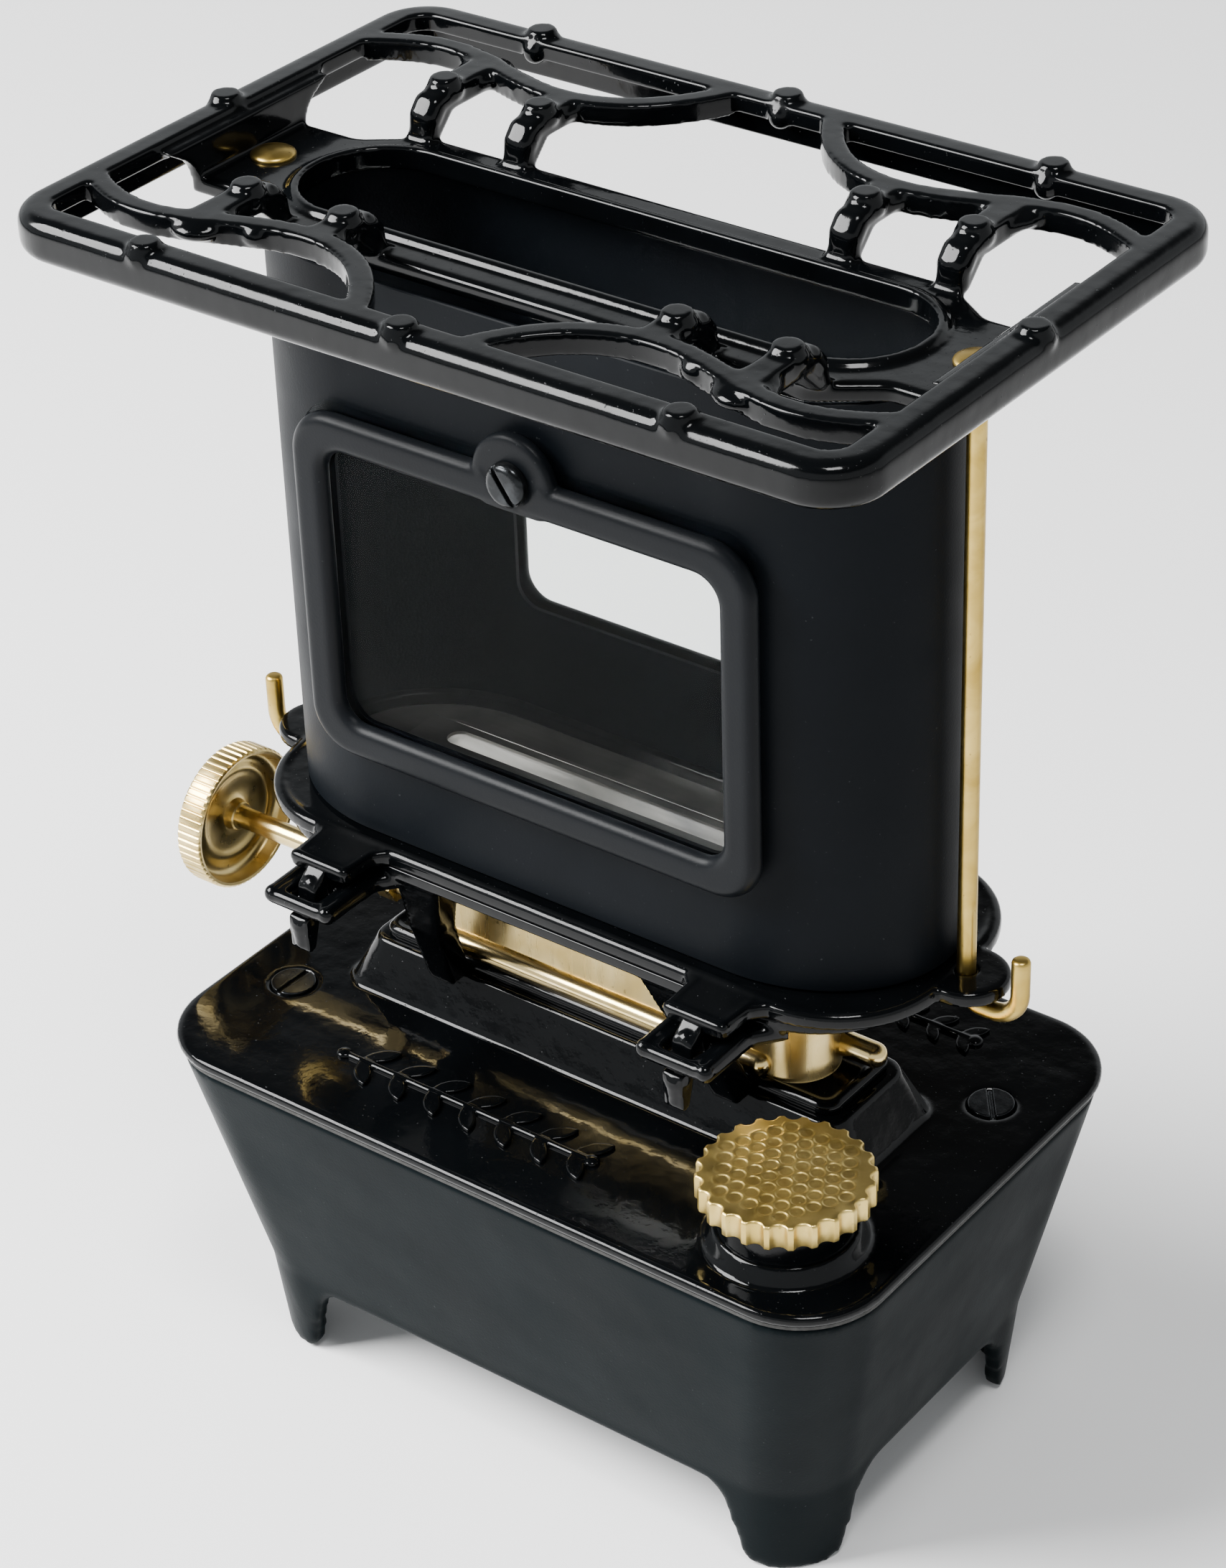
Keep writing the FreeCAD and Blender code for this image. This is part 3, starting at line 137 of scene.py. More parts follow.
def enamel(name, rough=(0.07, 0.16), wobble=0.00022, tint=(0.0008, 0.0010, 0.0012)):
    """Thick glossy black enamel over cast iron: slow waves, orange peel and a few specks."""
    material, tree, shader = new_material(name)
    lighter = tuple(1.7 * c for c in tint)
    shade = ramp(tree, noise(tree, 45, 4), [(0.35, tint), (0.7, lighter)])
    specks = ramp(tree, noise(tree, 1500, 1), [(0.74, 0.0), (0.8, 1.0)])
    dust = blend_colours(tree, specks, shade, (0.012, 0.013, 0.014))
    shader.inputs["Specular IOR Level"].default_value = 0.16
    tree.links.new(dust, shader.inputs["Base Color"])
    cloud = ramp(tree, noise(tree, 70, 5, distortion=0.6), [(0.35, rough[0]), (0.72, rough[1])])
    spotted = blend_colours(tree, specks, cloud, (0.45, 0.45, 0.45))
    tree.links.new(spotted, shader.inputs["Roughness"])
    waves = bump(tree, noise(tree, 85, 2), wobble)
    peel = bump(tree, noise(tree, 900, 2), 0.000012, under=waves)
    tree.links.new(bump(tree, specks, 0.00004, under=peel), shader.inputs["Normal"])
    return material


def satin_paint(name, tint, rough, specular, grain=0.00003, waves=0.00025, wave_scale=40):
    """Satin black paint with fine grain, faint cloudiness and sparse pale dust."""
    material, tree, shader = new_material(name)
    lighter = tuple(1.5 * c for c in tint)
    shade = ramp(tree, noise(tree, 25, 6), [(0.3, tint), (0.75, lighter)])
    specks = ramp(tree, noise(tree, 1300, 1), [(0.76, 0.0), (0.82, 1.0)])
    dusty = blend_colours(tree, specks, shade, (0.02, 0.022, 0.023))
    tree.links.new(dusty, shader.inputs["Base Color"])
    cloud = ramp(tree, noise(tree, 60, 5), [(0.3, rough[0]), (0.75, rough[1])])
    tree.links.new(cloud, shader.inputs["Roughness"])
    shader.inputs["Specular IOR Level"].default_value = specular
    slow = bump(tree, noise(tree, wave_scale, 2), waves)
    tree.links.new(bump(tree, noise(tree, 1700, 3), grain, under=slow), shader.inputs["Normal"])
    return material


def brass(name, pale, deep, rough, stretch, streak_scale=220, streak_depth=0.000012, painted_shade=0.0):
    """Brushed brass: streaks along the stretched axis, soft tarnish clouds and small dark spots, and, when
    asked for, painted shade, a dark brown, where a mesh attribute marks hollows.
    """
    material, tree, shader = new_material(name)
    shader.inputs["Metallic"].default_value = 1.0
    clouds = ramp(tree, noise(tree, 90, 5, distortion=0.8), [(0.32, deep), (0.68, pale)])
    streaks = noise(tree, streak_scale, 4, stretch)
    streaked = blend_colours(tree, ramp(tree, streaks, [(0.3, 0.0), (0.75, 0.4)]), clouds, deep)
    spots = ramp(tree, noise(tree, 650, 2), [(0.7, 0.0), (0.78, 0.7)])
    spotted = blend_colours(tree, spots, streaked, tuple(0.35 * c for c in deep))
    colour = spotted
    if painted_shade > 0:
        # Painted shade: a dark brown mixed in, unevenly, where the mesh's attribute marks hollows and the
        # underside
        mask = tree.nodes.new("ShaderNodeAttribute")
        mask.attribute_name = "painted_shade"
        patchy = blend_colours(tree, mask.outputs["Fac"], (0.0, 0.0, 0.0),
                               ramp(tree, noise(tree, 500, 4), [(0.3, 0.25 * painted_shade), (0.7, painted_shade)]))
        colour = blend_colours(tree, patchy, spotted, (0.17, 0.115, 0.035))
    tree.links.new(colour, shader.inputs["Base Color"])
    gloss = ramp(tree, noise(tree, 260, 4, stretch), [(0.3, rough[0]), (0.7, rough[1])])
    tree.links.new(gloss, shader.inputs["Roughness"])
    tree.links.new(bump(tree, streaks, streak_depth), shader.inputs["Normal"])
    return material


def dark_steel(name, tint, rough):
    """Blackened steel with rubbed, slightly brighter patches."""
    material, tree, shader = new_material(name)
    shader.inputs["Metallic"].default_value = 0.85
    rubbed = ramp(tree, noise(tree, 400, 5), [(0.45, tint), (0.8, tuple(3.0 * c for c in tint))])
    tree.links.new(rubbed, shader.inputs["Base Color"])
    cloud = ramp(tree, noise(tree, 500, 4), [(0.3, rough[0]), (0.7, rough[1])])
    tree.links.new(cloud, shader.inputs["Roughness"])
    tree.links.new(bump(tree, noise(tree, 1400, 3), 0.00002), shader.inputs["Normal"])
    return material


def grey_sheet(name):
    """Bare grey sheet steel of the flame deck, brushed lengthways and lightly heat stained."""
    material, tree, shader = new_material(name)
    shader.inputs["Metallic"].default_value = 0.9
    stain = ramp(tree, noise(tree, 30, 5, distortion=1.0),
                 [(0.3, (0.16, 0.16, 0.16)), (0.7, (0.3, 0.29, 0.27))])
    tree.links.new(stain, shader.inputs["Base Color"])
    brushed = noise(tree, 900, 3, (0.05, 1, 1))
    tree.links.new(ramp(tree, brushed, [(0.3, 0.3), (0.7, 0.48)]), shader.inputs["Roughness"])
    tree.links.new(bump(tree, brushed, 0.00001), shader.inputs["Normal"])
    return material


def seal_rubber(name):
    """Matt dark fibre or rubber seal with a granular face."""
    material, tree, shader = new_material(name)
    shade = ramp(tree, noise(tree, 700, 5), [(0.3, (0.012, 0.012, 0.011)), (0.7, (0.03, 0.029, 0.027))])
    tree.links.new(shade, shader.inputs["Base Color"])
    tree.links.new(ramp(tree, noise(tree, 300, 3), [(0.3, 0.65), (0.7, 0.85)]), shader.inputs["Roughness"])
    tree.links.new(bump(tree, noise(tree, 1800, 3), 0.00005), shader.inputs["Normal"])
    return material


def cotton(name):
    """Woven cotton wick: plain weave of warp and weft threads, off white, singed grey at places."""
    material, tree, shader = new_material(name)
    waves = []
    for direction in ("X", "Z"):
        wave = tree.nodes.new("ShaderNodeTexWave")
        wave.bands_direction = direction
        wave.inputs["Scale"].default_value = 280.0
        wave.inputs["Distortion"].default_value = 0.6
        tree.links.new(coordinates(tree), wave.inputs["Vector"])
        waves.append(wave.outputs["Fac"])
    weave = blend_colours(tree, 1.0, waves[0], waves[1], "MULTIPLY")
    thread = ramp(tree, weave, [(0.0, (0.4, 0.36, 0.29)), (0.6, (0.78, 0.74, 0.66))])
    fuzz = noise(tree, 900, 5)
    tree.links.new(blend_colours(tree, ramp(tree, fuzz, [(0.5, 0.0), (0.8, 0.5)]), thread, (0.3, 0.27, 0.22)),
                   shader.inputs["Base Color"])
    tree.links.new(ramp(tree, fuzz, [(0.2, 0.85), (0.8, 1.0)]), shader.inputs["Roughness"])
    tree.links.new(bump(tree, weave, 0.0003), shader.inputs["Normal"])
    return material


def window_glass(name):
    """Clear pane, with faint smudges that only dull its mirror."""
    material, tree, shader = new_material(name)
    shader.inputs["Base Color"].default_value = (0.93, 0.95, 0.94, 1.0)
    shader.inputs["Transmission Weight"].default_value = 1.0
    shader.inputs["IOR"].default_value = 1.07
    smudges = ramp(tree, noise(tree, 45, 6, distortion=1.5), [(0.55, 0.0), (0.8, 0.09)])
    tree.links.new(smudges, shader.inputs["Roughness"])
    return material


# Object coordinates are in metres, so noise scales are counts per metre
MATERIALS = {
    "enamel": enamel("gloss_enamel"),
    "lid_enamel": enamel("lid_enamel", rough=(0.05, 0.11), wobble=0.00017),
    "tank": satin_paint("tank_satin", (0.0012, 0.0028, 0.0034), (0.34, 0.44), 0.03),
    "drum": satin_paint("drum_satin", (0.0018, 0.0025, 0.0034), (0.44, 0.52), 0.05, waves=0.0001),
    "frame": satin_paint("window_frame_satin", (0.0024, 0.0030, 0.0038), (0.34, 0.42), 0.08, waves=0.0001),
    "screw": dark_steel("screw_steel", (0.012, 0.013, 0.014), (0.16, 0.3)),
    "deck": grey_sheet("deck_sheet"),
    "rod": brass("rod_brass", (0.58, 0.42, 0.13), (0.36, 0.24, 0.05), (0.26, 0.38), (1, 1, 0.04)),
    "burner": brass("burner_brass", (0.72, 0.57, 0.28), (0.52, 0.38, 0.14), (0.22, 0.32), (1, 1, 0.05), 420),
    "roll": brass("roll_brass", (0.76, 0.61, 0.32), (0.6, 0.45, 0.18), (0.14, 0.24), (0.05, 1, 1), 400),
    "wheel": brass("wheel_brass", (0.72, 0.57, 0.27), (0.46, 0.33, 0.11), (0.26, 0.36), (0.06, 1, 1)),
    "cap": brass("cap_brass", (0.68, 0.52, 0.19), (0.52, 0.37, 0.10), (0.3, 0.42), (1, 1, 1), 500, painted_shade=0.3),
    "seal": seal_rubber("seal_fibre"),
    "cotton": cotton("cotton_weave"),
    "pane": window_glass("window_pane"),
}


# ---------------------------------------------------------------- outlines and rows

def rounded_rectangle(half_x, half_y, radius, steps=10):
    outline = []
    for quarter, (sx, sy) in enumerate(((1, 1), (-1, 1), (-1, -1), (1, -1))):
        for i in range(steps + 1):
            angle = math.pi / 2 * (quarter + i / steps)
            outline.append((sx * (half_x - radius) + radius * math.cos(angle),
                            sy * (half_y - radius) + radius * math.sin(angle)))
    return outline


def oval(half_straight, end_length, half_depth, steps=48):
    """Straight long sides closed by half-ellipse ends."""
    outline = []
    for side in (1, -1):
        for i in range(steps + 1):
            if side > 0:
                angle = math.pi / 2 * (2 * i / steps - 1)
            else:
                angle = math.pi / 2 + math.pi * i / steps
            outline.append((side * half_straight + end_length * math.cos(angle),
                            half_depth * math.sin(angle)))
    return outline


def stadium(half_straight, radius, steps=32):
    return oval(half_straight, radius, radius, steps)


def at_height(outline, z):
    return [Vector((x, y, z)) for x, y in outline]


def rows_to_bmesh(rows, loop=False, soup=None):
    """Closed skin through rows of points: quads between rows, flat caps unless the rows loop."""
    soup = soup or bmesh.new()
    made = [[soup.verts.new(point * MM) for point in row] for row in rows]
    count = len(rows[0])
    pairs = list(zip(made, made[1:]))
    if loop:
        pairs.append((made[-1], made[0]))
    for lower, upper in pairs:
        for i in range(count):
            j = (i + 1) % count
            soup.faces.new((lower[i], lower[j], upper[j], upper[i]))
    if not loop:
        soup.faces.new(list(reversed(made[0])))
        soup.faces.new(made[-1])
    return soup


def sweep_rows(points, radii, segments=32):
    """Circles of the given radii set square to a line of points."""
    rows = []
    side = None
    for i, point in enumerate(points):
        along = points[min(i + 1, len(points) - 1)] - points[max(i - 1, 0)]
        along.normalize()
        if side is None:
            side = along.orthogonal().normalized()
        side = (side - along * side.dot(along)).normalized()
        other = along.cross(side)
        rows.append([point + radii[i] * (side * math.cos(2 * math.pi * k / segments)
                                         + other * math.sin(2 * math.pi * k / segments))
                     for k in range(segments)])
    return rows


def closed_sweep(soup, path, radius, segments=14):
    """Ring of round bead along a closed path of points."""
    count = len(path)
    rows = []
    for i, point in enumerate(path):
        along = (path[(i + 1) % count] - path[i - 1]).normalized()
        out = along.cross(Vector((0, 0, 1))).normalized()
        rows.append([point + radius * (out * math.cos(2 * math.pi * k / segments)
                                       + Vector((0, 0, math.sin(2 * math.pi * k / segments))))
                     for k in range(segments)])
    return rows_to_bmesh(rows, True, soup)


def lathe_rows(profile, turn, segments):
    """Rows for a (radius, height) profile; turn places a point given (radius, height, angle)."""
    return [[turn(radius, height, 2 * math.pi * k / segments) for k in range(segments)]
            for radius, height in profile]


def add_ball(soup, x, y, z, radius, flatten=(1, 1, 1)):
    matrix = Matrix.Translation(Vector((x, y, z)) * MM) @ Matrix.Diagonal((*flatten, 1))
    bmesh.ops.create_icosphere(soup, subdivisions=3, radius=radius * MM, matrix=matrix)


def add_rod(soup, start, end, start_radius, end_radius):
    start, end = Vector(start) * MM, Vector(end) * MM
    turn = (end - start).to_track_quat("Z", "Y").to_matrix().to_4x4()
    bmesh.ops.create_cone(soup, cap_ends=True, segments=32, radius1=start_radius * MM,
                          radius2=end_radius * MM, depth=(end - start).length,
                          matrix=Matrix.Translation((start + end) / 2) @ turn)


def add_nodes(soup, *nodes):
    for node in nodes:
        soup.from_mesh(frame["nodes"][node].data)


# ---------------------------------------------------------------- making pieces

def link_object(name, mesh):
    piece = bpy.data.objects.new(name, mesh)
    bpy.context.scene.collection.objects.link(piece)
    return piece


def place(name, mesh, material, nodes, slot, sharp_degrees=None):
    """Links a finished mesh as a piece that stands for CAD nodes and rides on their body."""
    mesh.materials.clear()
    mesh.materials.append(MATERIALS[material])
    mesh.polygons.foreach_set("material_index", [0] * len(mesh.polygons))
    mesh.polygons.foreach_set("use_smooth", [True] * len(mesh.polygons))
    if sharp_degrees is not None:
        mesh.set_sharp_from_angle(angle=math.radians(sharp_degrees))
    piece = link_object(name, mesh)
    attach(piece, BODY_OF[nodes[0]])
    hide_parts(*nodes)
    return piece


def soup_mesh(name, soup):
    bmesh.ops.recalc_face_normals(soup, faces=soup.faces)
    mesh = bpy.data.meshes.new(name)
    soup.to_mesh(mesh)
    soup.free()
    return mesh


def applied(raw):
    """The object's mesh with its modifiers applied; the object itself goes."""
    graph = bpy.context.evaluated_depsgraph_get()
    made = bpy.data.meshes.new_from_object(raw.evaluated_get(graph))
    old = raw.data
    bpy.data.objects.remove(raw)
    bpy.data.meshes.remove(old)
    return made


def cast(name, soup, voxel, passes, material, nodes, slot):
    """Melts overlapping closed solids into one skin with soft corners, as a casting has."""
    raw = link_object(name + "_raw", soup_mesh(name + "_raw", soup))
    remesh = raw.modifiers.new("melt", "REMESH")
    remesh.mode = "VOXEL"
    remesh.voxel_size = voxel * MM
    smooth = raw.modifiers.new("soften", "SMOOTH")
    smooth.factor = 0.5
    smooth.iterations = passes
    mesh = applied(raw)
    mesh.name = name
    return place(name, mesh, material, nodes, slot)


def skin(name, rows, material, nodes, slot, sharp_degrees=35, loop=False):
    return place(name, soup_mesh(name, rows_to_bmesh(rows, loop)), material, nodes, slot, sharp_degrees)


# ---------------------------------------------------------------- tank and lid

def make_tank():
    soup = bmesh.new()
    add_nodes(soup, "tank_body")
    cast("tank", soup, 1.05, 5, "tank", ["tank_body"], "satin_iron")


def make_lid():
    soup = bmesh.new()
    add_nodes(soup, "tank_lid")
    cast("lid", soup, 0.62, 5, "lid_enamel", ["tank_lid"], "enamel_iron")


SPRAY_INSET = 1.7
SPRAY_RISE = 0.2
SPRAY_STEM_R = 0.9
BERRY_R = 1.9
BERRY_FLATTEN = (1, 1, 0.6)


def make_ornament(which):
    soup = bmesh.new()
    node = "lid_ornament_" + which
    add_nodes(soup, node)
    low, high = (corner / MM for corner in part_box(node))
    middle_y = (low.y + high.y) / 2
    stem_z = LID_TOP_Z + SPRAY_RISE
    first_x = low.x + SPRAY_INSET
    last_x = high.x - SPRAY_INSET
    add_rod(soup, (first_x, middle_y, stem_z), (last_x, middle_y, stem_z), SPRAY_STEM_R, SPRAY_STEM_R)
    for x in (first_x, last_x):
        add_ball(soup, x, middle_y, stem_z, BERRY_R, BERRY_FLATTEN)
    cast("lid_leaves_" + which, soup, 0.22, 6, "lid_enamel", [node], "enamel_iron")


def make_lid_screw(which):
    node = "lid_screw_" + which
    soup = bmesh.new()
    add_nodes(soup, node)
    cast("cover_screw_" + which, soup, 0.2, 3, "screw", [node], "black_steel")


# ---------------------------------------------------------------- filler cap

CAP_AT = (68.4, -38.0)
CAP_R = 19.3
CAP_BOTTOM_Z = 100.4
CAP_TOP_Z = 106.6
CAP_CEILING_Z = 104.7
CAP_SKIRT_R = 15.35
CAP_FLUTES = 24
FLUTE_R = 2.0
FLUTE_REACH = CAP_R + 0.75
DIMPLE_PITCH = 3.8
DIMPLE_R = 1.65
DIMPLE_MARGIN = 3.4
DIMPLE_SINK = 0.14
DIMPLE_LIP = 0.1
DIMPLE_WALL = 0.45
LIP_OFFSET = 0.2
LIP_SPREAD = 0.26
CAP_RINGS = 84
POINTS_PER_FLUTE = 18


def cap_outline_radius(angle):
    """Radius of the fluted outline: round flutes cut into a circle."""
    step = 2 * math.pi / CAP_FLUTES
    off = (angle + step / 2) % step - step / 2
    across = FLUTE_REACH * math.sin(off)
    if abs(across) >= FLUTE_R:
        return CAP_R
    return min(CAP_R, FLUTE_REACH * math.cos(off) - math.sqrt(FLUTE_R ** 2 - across ** 2))


def cap_relief(x, y):
    """Height of the top face and how far the point lies inside a dimple, from 0 to 1."""
    row = round(y / (DIMPLE_PITCH * math.sqrt(3) / 2))
    nearest = 1e9
    for r in (row - 1, row, row + 1):
        column = round(x / DIMPLE_PITCH - 0.5 * (r % 2))
        for c in (column - 1, column, column + 1):
            dx = DIMPLE_PITCH * (c + 0.5 * (r % 2))
            dy = DIMPLE_PITCH * r * math.sqrt(3) / 2
            if math.hypot(dx, dy) < CAP_R - DIMPLE_MARGIN:
                nearest = min(nearest, math.hypot(x - dx, y - dy))
    inside = min(max((DIMPLE_R + 0.1 - nearest) / DIMPLE_WALL, 0.0), 1.0)
    rim = math.exp(-((nearest - DIMPLE_R - LIP_OFFSET) / LIP_SPREAD) ** 2)
    return DIMPLE_LIP * rim - DIMPLE_SINK * inside, inside


def make_filler_cap():
    """Turned brass cap: dimpled top, fluted rim, hollow skirt; shade is painted into the dimples and over the
    inside of the skirt.
    """
    segments = CAP_FLUTES * POINTS_PER_FLUTE
    profile = []
    for i in range(1, CAP_RINGS + 1):
        profile.append((i / CAP_RINGS * (1 - 0.6 / CAP_R), CAP_TOP_Z - 0.25, True))
    profile += [(1 - 0.25 / CAP_R, CAP_TOP_Z - 0.4, False), (1 - 0.08 / CAP_R, CAP_TOP_Z - 0.65, False),
                (1.0, CAP_TOP_Z - 1.0, False), (1.0, CAP_BOTTOM_Z + 0.4, False),
                (1 - 0.3 / CAP_R, CAP_BOTTOM_Z, False)]
    rows = []
    painted_shade = []
    for share, z, top in profile:
        row = []
        for k in range(segments):
            angle = 2 * math.pi * k / segments
            radius = share * cap_outline_radius(angle)
            x, y = radius * math.cos(angle), radius * math.sin(angle)
            lift, inside = cap_relief(x, y) if top else (0.0, 0.0)
            row.append(Vector((CAP_AT[0] + x, CAP_AT[1] + y, z + lift)))
            # Painted shade amount: full on each dimple's floor, fading out over its wall
            painted_shade.append(inside)
        rows.append(row)
    for radius, z in ((CAP_SKIRT_R, CAP_BOTTOM_Z), (CAP_SKIRT_R, CAP_CEILING_Z)):
        rows.append(at_height([(CAP_AT[0] + radius * math.cos(2 * math.pi * k / segments),
                                CAP_AT[1] + radius * math.sin(2 * math.pi * k / segments))
                               for k in range(segments)], z))
        # Painted shade amount: full over the whole inside of the skirt
        painted_shade += [1.0] * segments
    cap = skin("fuel_cap", rows, "cap", ["filler_cap"], "brass", 40)
    layer = cap.data.attributes.new("painted_shade", "FLOAT", "POINT")
    layer.data.foreach_set("value", painted_shade)


# ---------------------------------------------------------------- burner

def stadium_rows(profile, half_straight):
    """Rows for a profile of (distance out from the stadium's spine, height)."""
    return [at_height(stadium(half_straight, radius), z) for radius, z in profile]


TRAY_BEAD_PLAN = (61.0, 10.9, 3.2)
TRAY_BEAD_R = 1.2
TRAY_BEAD_DROP = 0.6


def make_burner_flange():
    soup = bmesh.new()
    add_nodes(soup, "burner_flange")
    path = at_height(rounded_rectangle(*TRAY_BEAD_PLAN), FLANGE_TOP_Z - TRAY_BEAD_DROP)
    closed_sweep(soup, path, TRAY_BEAD_R)
    cast("burner_tray", soup, 0.4, 5, "enamel", ["burner_flange"], "enamel_iron")


BURNER_WALL_R = 9.8
BURNER_HALF_STRAIGHT = 45.0
SHOULDER_R = 2.2
SHOULDER_STEPS = 6
BURNER_MOUTH_R = 3.05


def make_burner_body():
    """Brass housing: flared foot, straight wall, rounded shoulder, and an inner skin."""
    wall = BURNER_WALL_R
    outer = [(wall + 0.15, FLANGE_TOP_Z), (wall, FLANGE_TOP_Z + 0.4), (wall, BURNER_TOP_Z - SHOULDER_R)]
    for i in range(1, SHOULDER_STEPS + 1):
        angle = math.pi / 2 * i / SHOULDER_STEPS
        outer.append((wall - SHOULDER_R + SHOULDER_R * math.cos(angle),
                      BURNER_TOP_Z - SHOULDER_R + SHOULDER_R * math.sin(angle)))
    outer += [(4.2, BURNER_TOP_Z), (BURNER_MOUTH_R, BURNER_TOP_Z - 0.4)]
    inner = [(BURNER_MOUTH_R, BURNER_TOP_Z - 1.2), (wall - 1.8, BURNER_TOP_Z - 1.4),
             (wall - 1.0, BURNER_TOP_Z - 2.4), (wall - 1.0, FLANGE_TOP_Z)]
    rows = stadium_rows(outer + inner, BURNER_HALF_STRAIGHT)
    skin("burner_housing", rows, "burner", ["burner_body"], "brass_bright", loop=True)


def capsule(start, end, radius, dome_steps=8):
    """Rows of a round bar with ball ends."""
    start, end = Vector(start), Vector(end)
    along = (end - start).normalized()
    points = []
    radii = []
    for i in range(dome_steps + 1):
        angle = math.pi / 2 * (1 - i / dome_steps)
        points.append(start - along * radius * math.sin(angle))
        radii.append(max(radius * math.cos(angle), 0.02))
    for i in range(dome_steps + 1):
        angle = math.pi / 2 * i / dome_steps
        points.append(end + along * radius * math.sin(angle))
        radii.append(max(radius * math.cos(angle), 0.02))
    return sweep_rows(points, radii)


ROLL_R = 2.9
ROLL_AXIS = (-9.9, 106.1)
ROLL_END_X = 42.0
VENT_R = 2.9
VENT_AXIS = (5.2, 107.4)
VENT_ENDS_X = (52.5, 61.9)


def make_burner_roll():
    rows = capsule((-ROLL_END_X, *ROLL_AXIS), (ROLL_END_X, *ROLL_AXIS), ROLL_R)
    skin("burner_roll_bar", rows, "roll", ["burner_roll"], "brass_bright")


def make_burner_vent():
    rows = capsule((VENT_ENDS_X[0], *VENT_AXIS), (VENT_ENDS_X[1], *VENT_AXIS), VENT_R)
    skin("burner_vent_stub", rows, "roll", ["burner_vent"], "brass_bright")


WICK_HALF_STRAIGHT = 42.0
WICK_R = 1.9
WICK_RIB_DEPTH = 0.09
WICK_LEVELS = (36.0, 60.0, 90.0, 120.0, 134.0, 136.6, 137.2)
WICK_FRAY_Z = 136.0


def make_wick():
    """Flat woven wick: ribbed all round, its top edge slightly uneven."""
    outline = stadium(WICK_HALF_STRAIGHT, 1.0, 96)
    rows = []
    for z in WICK_LEVELS:
        shrink = 0.35 if z == WICK_LEVELS[-1] else 0.0
        row = []
        for k, (x, y) in enumerate(outline):
            rib = WICK_R + WICK_RIB_DEPTH * math.cos(2.2 * math.pi * x)
            spine_x = max(-WICK_HALF_STRAIGHT, min(WICK_HALF_STRAIGHT, x))
            out = Vector((x - spine_x, y, 0)).normalized()
            point = Vector((spine_x, 0, z)) + out * (rib - shrink)
            if z > WICK_FRAY_Z:
                point.z += 0.12 * math.sin(1.7 * x) * math.cos(0.9 * x + k)
            row.append(point)
        rows.append(row)
    skin("wick_cotton", rows, "cotton", ["wick"], "cotton", 60)


WHEEL_AT = (-115.6, -5.4, 111.8)
WHEEL_R = 17.4
WHEEL_KNURLS = 60
POINTS_PER_KNURL = 8
KNURL_DEPTH = 0.42


def make_wick_wheel():
    """Spun brass hand wheel: knurled band, rolled edge, dished web with one raised ring, hub."""
    segments = WHEEL_KNURLS * POINTS_PER_KNURL
    # Each row of the band: radius, distance along the axle, share of the knurl's depth
    knurled = [(WHEEL_R - 0.7, 0.0, 0.0), (WHEEL_R - 0.15, 0.35, 0.6), (WHEEL_R, 0.8, 1.0),
               (WHEEL_R, 6.2, 1.0), (WHEEL_R - 0.15, 6.65, 0.6), (WHEEL_R - 0.7, 7.0, 0.0)]
    inside = [(WHEEL_R - 1.3, 6.8), (WHEEL_R - 1.5, 6.4), (WHEEL_R - 1.7, 4.0), (WHEEL_R - 2.2, 3.0),
              (WHEEL_R - 3.0, 2.5), (13.4, 2.4), (12.6, 2.6), (11.9, 3.0), (11.2, 3.2), (10.4, 3.1),
              (9.7, 2.8), (8.8, 2.5), (6.5, 2.4), (4.6, 2.5), (3.9, 2.8), (3.6, 3.6), (3.5, 4.9),
              (3.2, 5.2), (1.9, 5.2)]
    outside = [(1.9, 1.0), (4.6, 0.9), (5.4, 1.5), (8.8, 1.5), (9.9, 2.8), (11.0, 2.9), (12.2, 1.8),
               (13.2, 1.4), (WHEEL_R - 2.4, 1.3), (WHEEL_R - 1.7, 0.8), (WHEEL_R - 1.3, 0.2)]

    def turn(radius, height, angle):
        return Vector((WHEEL_AT[0] + height, WHEEL_AT[1] + radius * math.cos(angle),
                       WHEEL_AT[2] + radius * math.sin(angle)))

    rows = []
    for radius, height, depth in knurled:
        row = []
        for k in range(segments):
            phase = (k % POINTS_PER_KNURL) / POINTS_PER_KNURL
            groove = KNURL_DEPTH * depth * max(0.0, math.cos(2 * math.pi * phase)) ** 0.8
            row.append(turn(radius - groove, height, 2 * math.pi * k / segments))
        rows.append(row)
    rows += lathe_rows(inside + outside, turn, segments)
    skin("wick_hand_wheel", rows, "wheel", ["wick_wheel"], "brass_bright", 40, loop=True)


# ---------------------------------------------------------------- chimney castings

# Beads that round each flange's edge: (half length, half width, corner radius) of the path
GALLERY_BEAD_PLAN = (81.1, 32.6, 24.6)
GALLERY_BEAD_Z = 138.6
GALLERY_BEAD_R = 1.4
RING_BEAD_PLAN = (85.1, 32.1, 24.1)
RING_BEAD_Z = 142.1
RING_BEAD_R = 1.85
TAB_X = 50.5
SHELF_HALF_W = 7.6
SHELF_BAR_Z = 136.2
TAB_EDGE_Z = 142.4


def make_gallery():
    """Lower casting, with rounded rails and a front bar round the slot of each hinge shelf."""
    soup = bmesh.new()
    add_nodes(soup, "gallery")
    closed_sweep(soup, at_height(rounded_rectangle(*GALLERY_BEAD_PLAN), GALLERY_BEAD_Z), GALLERY_BEAD_R)
    for side in (-1, 1):
        x = side * TAB_X
        for edge in (-1, 1):
            rail_x = x + edge * SHELF_HALF_W
            add_rod(soup, (rail_x, -51.8, 136.4), (rail_x, -38.0, 136.9), 1.75, 1.6)
        bar_ends = [(x + edge * SHELF_HALF_W, -52.2, SHELF_BAR_Z) for edge in (-1, 1)]
        add_rod(soup, *bar_ends, 1.5, 1.5)
        for edge in (-1, 1):
            add_ball(soup, x + edge * SHELF_HALF_W, -51.9, SHELF_BAR_Z, 2.1)
    cast("gallery_casting", soup, 0.5, 6, "enamel", ["gallery"], "enamel_iron")


